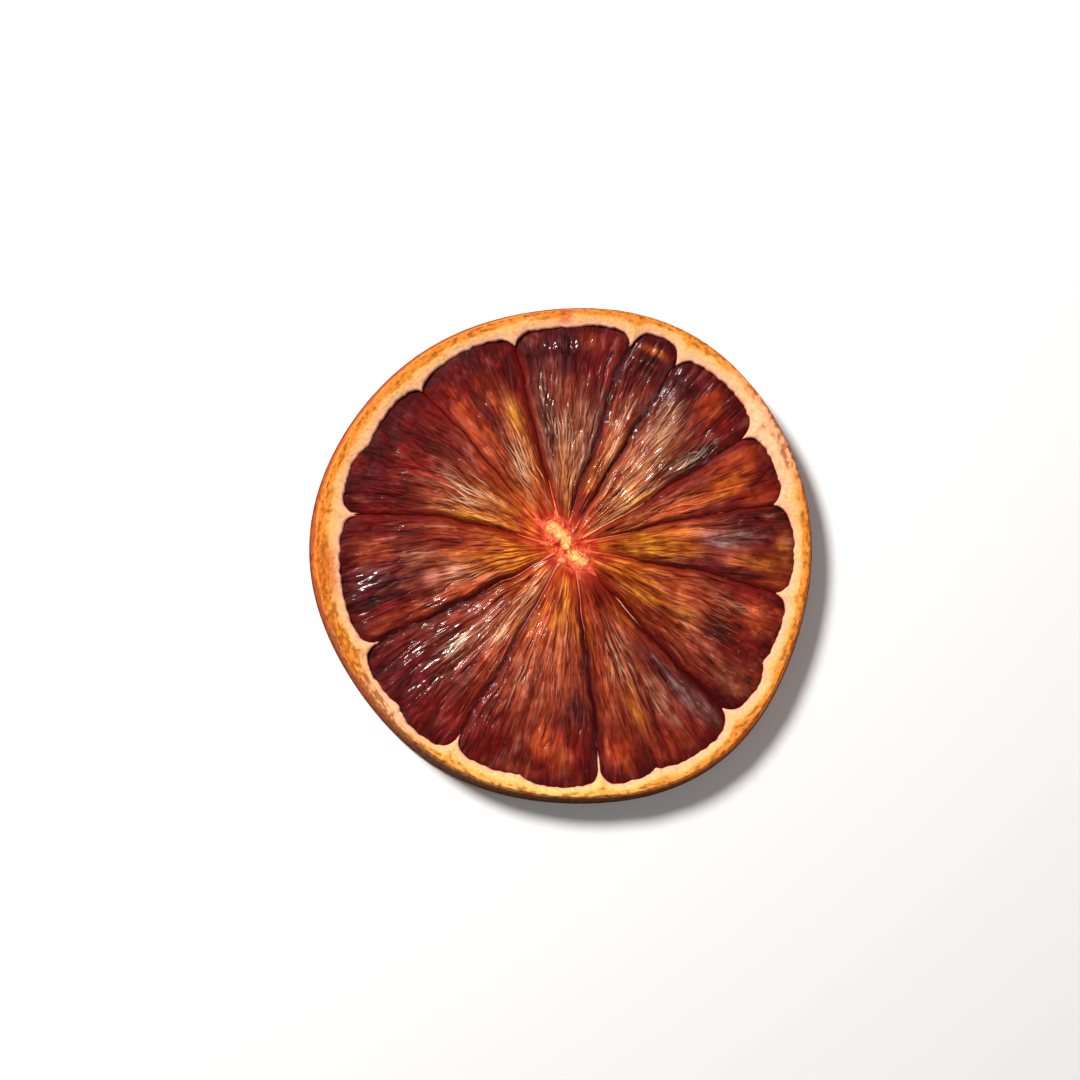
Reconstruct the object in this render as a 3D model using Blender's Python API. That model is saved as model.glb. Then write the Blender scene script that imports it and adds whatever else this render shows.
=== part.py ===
"""A dried blood orange slice: one leathery piece with a raised ring of rind round sunken, ribbed flesh.

The slice lies flat on its wider cut face. The origin is on the surface below its middle, +Z is up, and
+X and +Y are to the right and to the top as it is seen from above. Lengths are in metres.
"""

import math

import bmesh
import bpy
from mathutils import Vector, noise

MM = 0.001
TURN = 360.0

# Driving dimensions
BASE_RADIUS = 30.0 * MM
FACE_RADIUS = 29.1 * MM
THICKNESS = 4.6 * MM
FLESH_HALF_THICKNESS = 1.35 * MM
MIDDLE_HEIGHT = 2.4 * MM
LOWER_FLESH_GROWTH = 0.7 * MM
CORE_HALF_LENGTH = 3.7 * MM
CORE_HALF_WIDTH = 1.9 * MM
CORE_TILT_DEG = -50.0
CORE_CENTRE = Vector((-0.3 * MM, 0.8 * MM))

# The outline is a circle with these waves: waves in a turn, share of the radius, direction of a crest
OUTLINE_WAVES = (
    (2, 0.0033, -16.5),
    (3, 0.0177, 55.8),
    (4, 0.0039, -43.4),
    (5, 0.0029, 20.9),
    (6, 0.0057, 2.4),
)

# The twelve membranes: direction of the end at the rind, direction of the end at the core as seen from
# the core's middle, and how far the line bows to its left on the way out, in millimetres
MEMBRANES = (
    (12.9, 8.0, 0.3),
    (33.0, 24.0, -0.2),
    (59.9, 62.0, 0.2),
    (73.1, 82.0, 0.5),
    (104.5, 108.0, 0.0),
    (132.4, 141.0, -0.4),
    (170.3, 178.0, -1.2),
    (205.1, 214.0, 0.3),
    (238.8, 246.0, 0.2),
    (277.3, 290.0, 0.2),
    (314.3, 313.0, -0.3),
    (348.7, 342.0, 0.5),
)

# The bays of the rind's inner edge: direction and radius of the cusp that starts the bay, and the radius
# at its middle, in millimetres. Twelve cusps stand at membranes and six part a segment's wide end in two
BAYS = (
    (12.9, 25.9, 26.7),
    (33.0, 25.9, 27.5),
    (59.9, 26.9, 28.0),
    (73.1, 26.6, 27.3),
    (88.0, 26.8, 26.8),
    (104.5, 26.1, 26.9),
    (132.4, 26.4, 27.2),
    (152.0, 26.8, 27.7),
    (170.3, 26.7, 27.2),
    (205.1, 26.3, 27.4),
    (222.0, 27.1, 27.8),
    (238.8, 26.5, 27.2),
    (257.0, 26.9, 27.8),
    (277.3, 27.2, 28.0),
    (291.5, 27.5, 28.3),
    (314.3, 26.7, 27.6),
    (330.0, 26.6, 26.8),
    (348.7, 26.0, 27.0),
)
CUSP_SHARPNESS = 3.2

# Rim, membrane and flesh details
EDGE_ROUND = 0.3 * MM
FACE_DISH = 0.3 * MM
FOOT_STEP = 0.3 * MM
MEMBRANE_HALF_WIDTH = 0.24 * MM
MEMBRANE_RISE = 0.25 * MM
VALLEY_DEPTH = 0.6 * MM
VALLEY_START = 0.22
CROWN_FULLNESS = 2.5
FLESH_TAPER = 0.12
FLESH_FALL = 0.42
FALL_SHARPNESS = 9
FOOT_SHARE_LIMIT = 0.25
RIB_RELIEF = 0.14 * MM
RIB_STEEPNESS = 0.4
RIB_MEAN = 0.55
RIB_LENGTHS = 3.0
SEGMENT_SEED_STEP = 7.3
SIDE_SEED_STEP = 41.0
CORE_RISE = 0.25 * MM
CORE_FULLNESS = 8
RIND_RELIEF = 0.07 * MM
RIND_GRAIN = 1.7 * MM

# The slow waves that drying leaves: the lift of the upper face and of the two places that clear the surface
WARP_RISE = 0.32 * MM
WARP_DIRECTION_DEG = 62.0
REST_SHARE = 0.15

# Mesh counts: the flesh spokes are those between the feet of two membranes
FLESH_SPOKES = 11
FLESH_STATIONS = (0.07, 0.17, 0.3, 0.46, 0.63, 0.79, 0.9, 0.96)
WALL_STATIONS = (0.33, 0.67)
CORE_STATIONS = (0.6, 0.9)

RIND, PITH, FLESH, CORE = range(4)


def between(a, b, share):
    return a + (b - a) * share


def at(radius, degrees):
    """The point at this distance and direction from the slice's middle, in plan."""
    angle = math.radians(degrees)
    return Vector((radius * math.cos(angle), radius * math.sin(angle)))


def outline(degrees):
    """Radius of the slice's outline in this direction, as a share of its mean radius."""
    waves = (share * math.cos(count * math.radians(degrees - crest)) for count, share, crest in OUTLINE_WAVES)
    return 1.0 + sum(waves)


def core_edge(degrees):
    """The point of the core's oval outline in this direction from the core's middle, in plan."""
    turned = math.radians(degrees - CORE_TILT_DEG)
    reach = 1.0 / math.hypot(math.cos(turned) / CORE_HALF_LENGTH, math.sin(turned) / CORE_HALF_WIDTH)
    return CORE_CENTRE + at(reach, degrees)


def flesh_edge(degrees, face):
    """Radius of the flesh where it meets the rind. Face is 1 for the upper side and -1 for the lower one."""
    first = BAYS[0][0]
    past = (degrees - first) % TURN
    index = sum(bay[0] - first <= past for bay in BAYS) - 1
    start, near_cusp, middle = BAYS[index]
    end, far_cusp, _ = BAYS[(index + 1) % len(BAYS)]
    across = (past - (start - first)) / ((end - start) % TURN)
    pinch = abs(2.0 * across - 1.0) ** CUSP_SHARPNESS
    radius = between(middle, between(near_cusp, far_cusp, across), pinch)
    return radius * MM + (LOWER_FLESH_GROWTH if face < 0 else 0.0)


def membrane(index):
    """The membrane's two directions and its bow. Past the last one, the first comes round again."""
    rim, core, bow = MEMBRANES[index % len(MEMBRANES)]
    laps = TURN * (index // len(MEMBRANES))
    return rim + laps, core + laps, bow * MM


def rim_direction(segment, across):
    return between(membrane(segment)[0], membrane(segment + 1)[0], across)


def plan_point(segment, across, along, face):
    """A point of the flesh in plan: across runs from one membrane to the next, along from core to rind."""
    core = between(membrane(segment)[1], membrane(segment + 1)[1], across)
    rim = rim_direction(segment, across)
    start, end = core_edge(core), at(flesh_edge(rim, face), rim)
    bow = between(membrane(segment)[2], membrane(segment + 1)[2], across)
    run = (end - start).normalized()
    left = Vector((-run.y, run.x))
    return start.lerp(end, along) + left * bow * 4.0 * along * (1.0 - along)


def segment_width(segment, along, face):
    return (plan_point(segment, 1.0, along, face) - plan_point(segment, 0.0, along, face)).length


def spoke_share(segment, spoke, along, face):
    """Spoke 0 runs on a membrane's crest, the next at its foot, then those of the flesh, then a foot.

    The feet keep the same distance to the crest all along, but for where the segment is narrow.
    """
    foot = min(FOOT_SHARE_LIMIT, MEMBRANE_HALF_WIDTH / segment_width(segment, along, face))
    return 0.0 if spoke == 0 else between(foot, 1.0 - foot, (spoke - 1) / (FLESH_SPOKES + 1))


def warp(degrees, radius):
    """The slow wave of the whole slice, which grows towards its rim."""
    reach = (radius / BASE_RADIUS) ** 2
    return WARP_RISE * reach * math.cos(2.0 * math.radians(degrees - WARP_DIRECTION_DEG))


def rim_top(degrees):
    return THICKNESS + warp(degrees, BASE_RADIUS)


def rim_low(degrees):
    """How far the lower edge clears the surface: none along the two long stretches that it rests on."""
    wave = math.cos(2.0 * math.radians(degrees - WARP_DIRECTION_DEG))
    return WARP_RISE * max(0.0, wave - REST_SHARE)


def thinning(along):
    """The flesh thins slowly on its way out, and quickly where it meets the rind."""
    return 1.0 - FLESH_TAPER * along - FLESH_FALL * along**FALL_SHARPNESS


def ribs(segment, spoke, along, face):
    """Relief of the dried juice sacs: every second spoke is a rib, which comes and goes along its way."""
    spacing = segment_width(segment, along, face) / FLESH_SPOKES
    seed = SEGMENT_SEED_STEP * segment + SIDE_SEED_STEP * face
    swell = noise.noise(Vector((spoke / 2.0, along * RIB_LENGTHS, seed)))
    side = 1.0 if spoke % 2 else -1.0
    return min(RIB_RELIEF, RIB_STEEPNESS * spacing) * side * (RIB_MEAN + swell)


def flesh_point(segment, spoke, along, face):
    """A point of the flesh: a soft crown between two valleys, with a low ridge in each for the membrane."""
    across = spoke_share(segment, spoke, along, face)
    plan = plan_point(segment, across, along, face)
    direction = math.degrees(math.atan2(plan.y, plan.x))
    crown = 1.0 - abs(2.0 * across - 1.0) ** CROWN_FULLNESS
    opening = min(1.0, along / VALLEY_START)
    depth = FLESH_HALF_THICKNESS * thinning(along) - VALLEY_DEPTH * (1.0 - crown) * opening
    depth += MEMBRANE_RISE * opening if spoke == 0 else ribs(segment, spoke, along, face) * crown
    return Vector((plan.x, plan.y, MIDDLE_HEIGHT + warp(direction, plan.length) + face * depth))


def core_height(face):
    return MIDDLE_HEIGHT + face * (FLESH_HALF_THICKNESS + CORE_RISE)


def rind_bump(direction, height):
    """The pebbled skin of the rind."""
    place = at(BASE_RADIUS, direction).to_3d() + Vector((0.0, 0.0, height))
    return RIND_RELIEF * noise.noise(place / RIND_GRAIN)


def spokes():
    for segment in range(len(MEMBRANES)):
        for spoke in range(FLESH_SPOKES + 2):
            yield segment, spoke


def core_rings(face):
    """Rings of the raised pithy core, from its middle outwards."""
    middle = Vector((CORE_CENTRE.x, CORE_CENTRE.y, core_height(face)))
    edge = [flesh_point(segment, spoke, 0.0, face) for segment, spoke in spokes()]
    rings = []
    for share in CORE_STATIONS:
        fall = share**CORE_FULLNESS
        plan = [middle.xy.lerp(point.xy, share) for point in edge]
        rings.append([(*place, between(middle.z, point.z, fall)) for place, point in zip(plan, edge)])
    return rings


def flesh_rings(face):
    """Rings of the flesh, from the core's edge outwards."""
    stations = (0.0, *FLESH_STATIONS)
    return [[flesh_point(segment, spoke, along, face) for segment, spoke in spokes()] for along in stations]


def rim_steps(segment, spoke):
    """Profile of the rind at a spoke: down its skin from the upper foot to the lower one.

    Each step is a radius, a height and a direction. The inner edges keep to the flesh's spokes, and the
    skin's spokes are evenly spaced.
    """
    upper = rim_direction(segment, spoke_share(segment, spoke, 1.0, 1))
    lower = rim_direction(segment, spoke_share(segment, spoke, 1.0, -1))
    skin = rim_direction(segment, spoke / (FLESH_SPOKES + 2))
    upper_edge, lower_edge = flesh_edge(upper, 1), flesh_edge(lower, -1)
    face_edge, base_edge = FACE_RADIUS * outline(skin), BASE_RADIUS * outline(skin)
    top, low = rim_top(skin), rim_low(skin)
    yield upper_edge - FOOT_STEP, flesh_point(segment, spoke, 1.0, 1).z, upper
    yield upper_edge, rim_top(upper) - FACE_DISH - EDGE_ROUND, upper
    yield upper_edge + EDGE_ROUND, rim_top(upper) - FACE_DISH, upper
    yield face_edge - EDGE_ROUND, top, skin
    yield face_edge, top - EDGE_ROUND, skin
    for share in WALL_STATIONS:
        height = between(top - EDGE_ROUND, low + EDGE_ROUND, share)
        yield between(face_edge, base_edge, share) + rind_bump(skin, height), height, skin
    yield base_edge, low + EDGE_ROUND, skin
    yield base_edge - EDGE_ROUND, low, skin
    yield lower_edge + EDGE_ROUND, rim_low(lower), lower
    yield lower_edge, rim_low(lower) + EDGE_ROUND, lower
    yield lower_edge - FOOT_STEP, flesh_point(segment, spoke, 1.0, -1).z, lower


def rim_rings():
    """Rings of the rind from the upper foot over the upper face, down the skin and back to the lower foot."""
    columns = []
    for segment, spoke in spokes():
        steps = rim_steps(segment, spoke)
        columns.append([(*at(radius, direction), height) for radius, height, direction in steps])
    return list(zip(*columns))


def ring_kinds():
    """What each band between two rings is made of, in the order of the rings."""
    core, flesh, wall = len(CORE_STATIONS), len(FLESH_STATIONS), len(WALL_STATIONS)
    face = [CORE] * core + [FLESH] * (flesh + 1)
    rim = [PITH] * 4 + [RIND] * (wall + 1) + [PITH] * 4
    return face + rim + face[::-1]


def add_material(mesh, name, colour, roughness):
    material = bpy.data.materials.new(name)
    material.use_nodes = True
    shader = material.node_tree.nodes["Principled BSDF"]
    shader.inputs["Base Color"].default_value = (*colour, 1.0)
    shader.inputs["Roughness"].default_value = roughness
    shader.inputs["Metallic"].default_value = 0.0
    mesh.materials.append(material)


def add_band(grid, inside, outside, kind):
    """Quads between two rings of the same length, facing out of the slice."""
    count = len(inside)
    for here in range(count):
        after = (here + 1) % count
        face = grid.faces.new((inside[here], outside[here], outside[after], inside[after]))
        face.material_index = kind


def add_fan(grid, ring, face):
    """Closes the core with triangles to one middle point."""
    middle = grid.verts.new((CORE_CENTRE.x, CORE_CENTRE.y, core_height(face)))
    for here, vertex in enumerate(ring):
        pair = (vertex, ring[(here + 1) % len(ring)])
        triangle = grid.faces.new((middle, *pair) if face > 0 else (middle, *pair[::-1]))
        triangle.material_index = CORE


def stand_on_origin(grid):
    """Moves the shape so that the origin is on the surface below the middle of its length and width."""
    lows = [min(vertex.co[axis] for vertex in grid.verts) for axis in range(3)]
    highs = [max(vertex.co[axis] for vertex in grid.verts) for axis in range(3)]
    middle = Vector(((lows[0] + highs[0]) / 2.0, (lows[1] + highs[1]) / 2.0, lows[2]))
    bmesh.ops.translate(grid, vec=-middle, verts=grid.verts)


def build_slice():
    """The whole slice as one closed solid."""
    upper = [*core_rings(1), *flesh_rings(1)]
    lower = [*core_rings(-1), *flesh_rings(-1)]
    grid = bmesh.new()
    rings = [[grid.verts.new(point) for point in ring] for ring in [*upper, *rim_rings(), *lower[::-1]]]
    for inside, outside, kind in zip(rings, rings[1:], ring_kinds()):
        add_band(grid, inside, outside, kind)
    add_fan(grid, rings[0], 1)
    add_fan(grid, rings[-1], -1)
    stand_on_origin(grid)

    mesh = bpy.data.meshes.new("dried_slice")
    grid.to_mesh(mesh)
    grid.free()
    add_material(mesh, "rind", (0.56, 0.16, 0.02), 0.5)
    add_material(mesh, "pith", (0.85, 0.45, 0.17), 0.6)
    add_material(mesh, "flesh", (0.2, 0.03, 0.015), 0.3)
    add_material(mesh, "core", (0.8, 0.2, 0.06), 0.45)
    mesh.shade_smooth()
    mesh.set_sharp_from_angle(angle=math.radians(50.0))
    dried_slice = bpy.data.objects.new("dried_slice", mesh)
    bpy.context.scene.collection.objects.link(dried_slice)


def main():
    for leftover in list(bpy.data.objects):
        bpy.data.objects.remove(leftover)
    build_slice()


main()
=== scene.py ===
"""The looks of a dried blood orange slice, in place of its solid: rind, flesh, membranes and core.

The slice's own plan is in millimetres: its middle is the middle of the fruit, +X is to the right and +Y to
the top as the slice is seen from above. Directions are in degrees from +X, to the left. Only in_frame()
turns millimetres into the frame's metres. Face is 1 for the upper side and -1 for the lower one.
"""

import math
from itertools import product

import bpy
import numpy as np
from mathutils import Matrix, Vector


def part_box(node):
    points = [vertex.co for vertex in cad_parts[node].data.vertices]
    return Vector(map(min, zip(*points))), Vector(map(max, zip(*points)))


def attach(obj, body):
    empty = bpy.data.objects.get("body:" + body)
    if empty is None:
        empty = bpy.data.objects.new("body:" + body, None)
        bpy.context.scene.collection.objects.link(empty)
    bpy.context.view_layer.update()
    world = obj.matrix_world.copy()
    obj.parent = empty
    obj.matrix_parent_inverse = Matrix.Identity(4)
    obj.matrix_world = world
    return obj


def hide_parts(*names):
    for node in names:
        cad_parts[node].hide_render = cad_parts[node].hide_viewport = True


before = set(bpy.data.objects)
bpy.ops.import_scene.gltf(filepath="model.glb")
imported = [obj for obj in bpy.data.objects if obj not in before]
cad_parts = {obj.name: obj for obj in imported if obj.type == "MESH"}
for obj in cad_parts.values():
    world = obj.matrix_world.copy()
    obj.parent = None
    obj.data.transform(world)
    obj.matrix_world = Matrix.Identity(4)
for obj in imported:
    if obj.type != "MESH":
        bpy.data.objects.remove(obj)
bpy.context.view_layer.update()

# Driving dimensions, in millimetres
BASE_RADIUS = 30.0
FACE_RADIUS = 29.1
THICKNESS = 4.6
FLESH_HALF_THICKNESS = 1.35
MIDDLE_HEIGHT = 2.4
LOWER_FLESH_GROWTH = 0.7
CORE_HALF_LENGTH = 3.7
CORE_HALF_WIDTH = 1.9
CORE_TILT_DEG = -50.0
CORE_CENTRE = np.array((-0.3, 0.8))

# The outline is a circle with these waves: waves in a turn, share of the radius, direction of a crest
OUTLINE_WAVES = (
    (2, 0.0033, -16.5),
    (3, 0.0177, 55.8),
    (4, 0.0039, -43.4),
    (5, 0.0029, 20.9),
    (6, 0.0057, 2.4),
)

# The twelve membranes: direction of the end at the rind, direction of the end at the core as seen from
# the core's middle, and how far the line bows to its left on the way out
MEMBRANES = (
    (12.9, 8.0, 0.3),
    (33.0, 24.0, -0.2),
    (59.9, 62.0, 0.2),
    (73.1, 82.0, 0.5),
    (104.5, 108.0, 0.0),
    (132.4, 141.0, -0.4),
    (170.3, 178.0, -1.2),
    (205.1, 214.0, 0.3),
    (238.8, 246.0, 0.2),
    (277.3, 290.0, 0.2),
    (314.3, 313.0, -0.3),
    (348.7, 342.0, 0.5),
)

# The bays of the rind's inner edge: direction and radius of the cusp that starts the bay, and the radius
# at its middle
BAYS = np.array((
    (12.9, 25.9, 26.7), (33.0, 25.9, 27.5), (59.9, 26.9, 28.0),
    (73.1, 26.6, 27.3), (88.0, 26.8, 26.8), (104.5, 26.1, 26.9),
    (132.4, 26.4, 27.2), (152.0, 26.8, 27.7), (170.3, 26.7, 27.2),
    (205.1, 26.3, 27.4), (222.0, 27.1, 27.8), (238.8, 26.5, 27.2),
    (257.0, 26.9, 27.8), (277.3, 27.2, 28.0), (291.5, 27.5, 28.3),
    (314.3, 26.7, 27.6), (330.0, 26.6, 26.8), (348.7, 26.0, 27.0),
))
CUSP_SHARPNESS = 3.2

# The slow waves that drying leaves
WARP_RISE = 0.32
WARP_DIRECTION_DEG = 62.0
REST_SHARE = 0.15

# Form of the flesh, in millimetres and shares
VALLEY_DEPTH = 0.42
VALLEY_START = 0.22
CROWN_FULLNESS = 2.5
FLESH_TAPER = 0.02
FLESH_FALL = 0.03
FALL_SHARPNESS = 9
MEANDER = 0.35
CREASE_WIDTH = 0.4
CORE_RISE = 0.25
MEMBRANE_GAP = 0.05
RUN_STATION = 0.55
BEND = 0.3
STROKE_BEND = 0.25

# The strokes of the flesh: mean spacing, half lengths, half widths, spread of their direction and seed
STROKES = {
    "ridges": (1.9, (1.4, 4.2), (0.13, 0.22), 4.0, 1),
    "threads": (1.02, (0.8, 3.4), (0.05, 0.09), 5.0, 2),
    "grooves": (1.6, (1.2, 4.5), (0.07, 0.14), 5.0, 3),
    "flecks": (1.3, (0.12, 0.5), (0.06, 0.11), 16.0, 4),
}
FURROW_WIDENING = 2.4
SAC_WIDTH = 0.75
SAC_LENGTH = 1.15
SAC_START = 0.66
SAC_SPREAD = 0.36
SAC_EDGE = 2.4

# Waves of the noise: width, length, offset of the seed and octaves. The streaks of the flesh are narrow
# across its threads and long along them, and the strands of the core are long along the core.
WAVES = {
    "swell": (4.5, 4.5, 0.0, 2),
    "blots": (1.5, 1.5, 3.0, 3),
    "bend": (3.0, 8.0, 0.0, 2),
    "fray": (0.8, 6.0, 2.0, 3),
    "wrinkles": (1.5, 8.0, 4.0, 2),
    "cracks": (1.1, 5.0, 12.0, 2),
    "shown": (1.7, 3.6, 8.0, 2),
    "ripples": (0.7, 5.0, 8.0, 1),
    "red streaks": (0.9, 4.0, 11.0, 3),
    "pale streaks": (0.7, 4.0, 13.0, 3),
    "dark streaks": (0.8, 5.0, 10.0, 3),
    "waver": (1.3, 1.3, 5.0, 3),
    "strands": (1.6, 0.28, 11.0, 3),
    "lumps": (0.8, 0.8, 13.0, 3),
    "specks": (0.28, 0.28, 15.0, 2),
}
CRACK_WIDTH = 0.2

# Relief of the flesh in millimetres: patterns that fade at the membranes, those that fade among the sacs
# too, and fine ones that fade where the flesh is wet as well
SOFT_RELIEF = {"swell": 0.2, "wrinkles": 0.16}
THREAD_RELIEF = {"ridges": 0.12, "grooves": -0.08, "cracks": -0.11}
FINE_RELIEF = {"threads": 0.06, "furrows": -0.04}
FLECK_RELIEF = 0.05
RIPPLE_RELIEF = 0.07
SAC_RELIEF = 0.1
SAC_UNEVENNESS = 0.04
END_DROP = 0.04
WET_SMOOTHING = 0.7
SAC_SMOOTHING = 0.75
CREASE_UNEVENNESS = 0.6
LEAST_CREASE_WIDTH = 0.15

# Streaks of the flesh: waves, level at which they begin and are full, colour, strength at core and rind
STREAKS = (
    ("red streaks", 0.2, 1.0, "red", 0.2, 0.2),
    ("pale streaks", 0.2, 1.1, "dusk", 0.45, 0.2),
    ("dark streaks", 0.1, 1.0, "wine", 0.6, 0.6),
)

# Light, shade and gloss of the flesh. The raised ridges are painted lighter and the sunken grooves, furrows
# and
# cracks darker: painted light and painted shade on the relief. The powers say how much more a shade takes
# from green and blue than from red, and the level compares a point's red with the red that is usual at the
# core and at the rind.
FLESH_BRIGHTNESS = 1.3
LIGHT_BLOTCHES = {"blots": 0.5, "fray": 0.55}
PAINTED_RIDGE_LIGHT = 0.4
PAINTED_CRACK_SHADE = 0.4
PAINTED_GROOVE_SHADE = 0.45
PAINTED_FURROW_SHADE = 0.6
THREAD_LIGHT = 3.0
PAINTED_GLINT = 0.3
PAINTED_SAC_BORDER_SHADE = 0.3
SAC_SHADE_SPREAD = 0.25
SHADE_POWERS = np.array((0.9, 1.4, 1.5))
USUAL_RED = (0.34, 0.14)
LEVEL_RANGE = (0.15, 1.9)
LEVEL_POWERS = np.array((0.0, 0.38, 0.6))
CORE_SHADE = np.array((0.09, 0.22, 0.26))
DRY_GLOSS = 0.08
GLOSS_SHARES = {"wet": 0.7, "fray": 0.2, "blots": 0.15, "flecks": 0.6}

# Mesh counts
SURFACE_STEP = 0.085
ALONG_STEPS = 150

# Colours as seen in daylight, 0 to 255
PALETTE = {
    "salmon": (236, 104, 62), "red": (170, 30, 14), "rust": (178, 62, 20),
    "amber": (204, 92, 20), "gold": (196, 112, 22), "ochre": (166, 84, 16),
    "olive": (162, 94, 12), "straw": (238, 184, 138), "tan": (194, 112, 56),
    "brown": (144, 54, 24), "umber": (108, 38, 22), "burgundy": (98, 12, 8),
    "wine": (64, 5, 8), "mauve": (106, 44, 42), "plum": (50, 14, 24),
    "grey": (136, 82, 58), "black red": (34, 5, 7), "cream": (250, 196, 136),
    "peach": (252, 184, 112), "honey": (234, 138, 42), "pink": (252, 182, 142),
    "blush": (222, 92, 66), "rose": (214, 112, 92), "dusk": (176, 98, 78),
    "slate": (96, 70, 68), "sun": (254, 208, 112), "zest": (178, 76, 16),
    "deep zest": (104, 40, 10), "dark olive": (72, 40, 14), "gland": (150, 84, 20),
    "pale pink": (255, 200, 170),
}

# The flesh's colour on its way out from the core
FLESH_RAMP = (
    (0.0, "red"),
    (0.05, "rust"),
    (0.25, "ochre"),
    (0.42, "brown"),
    (0.62, "umber"),
    (0.8, "burgundy"),
    (1.0, "wine"),
)

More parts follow.
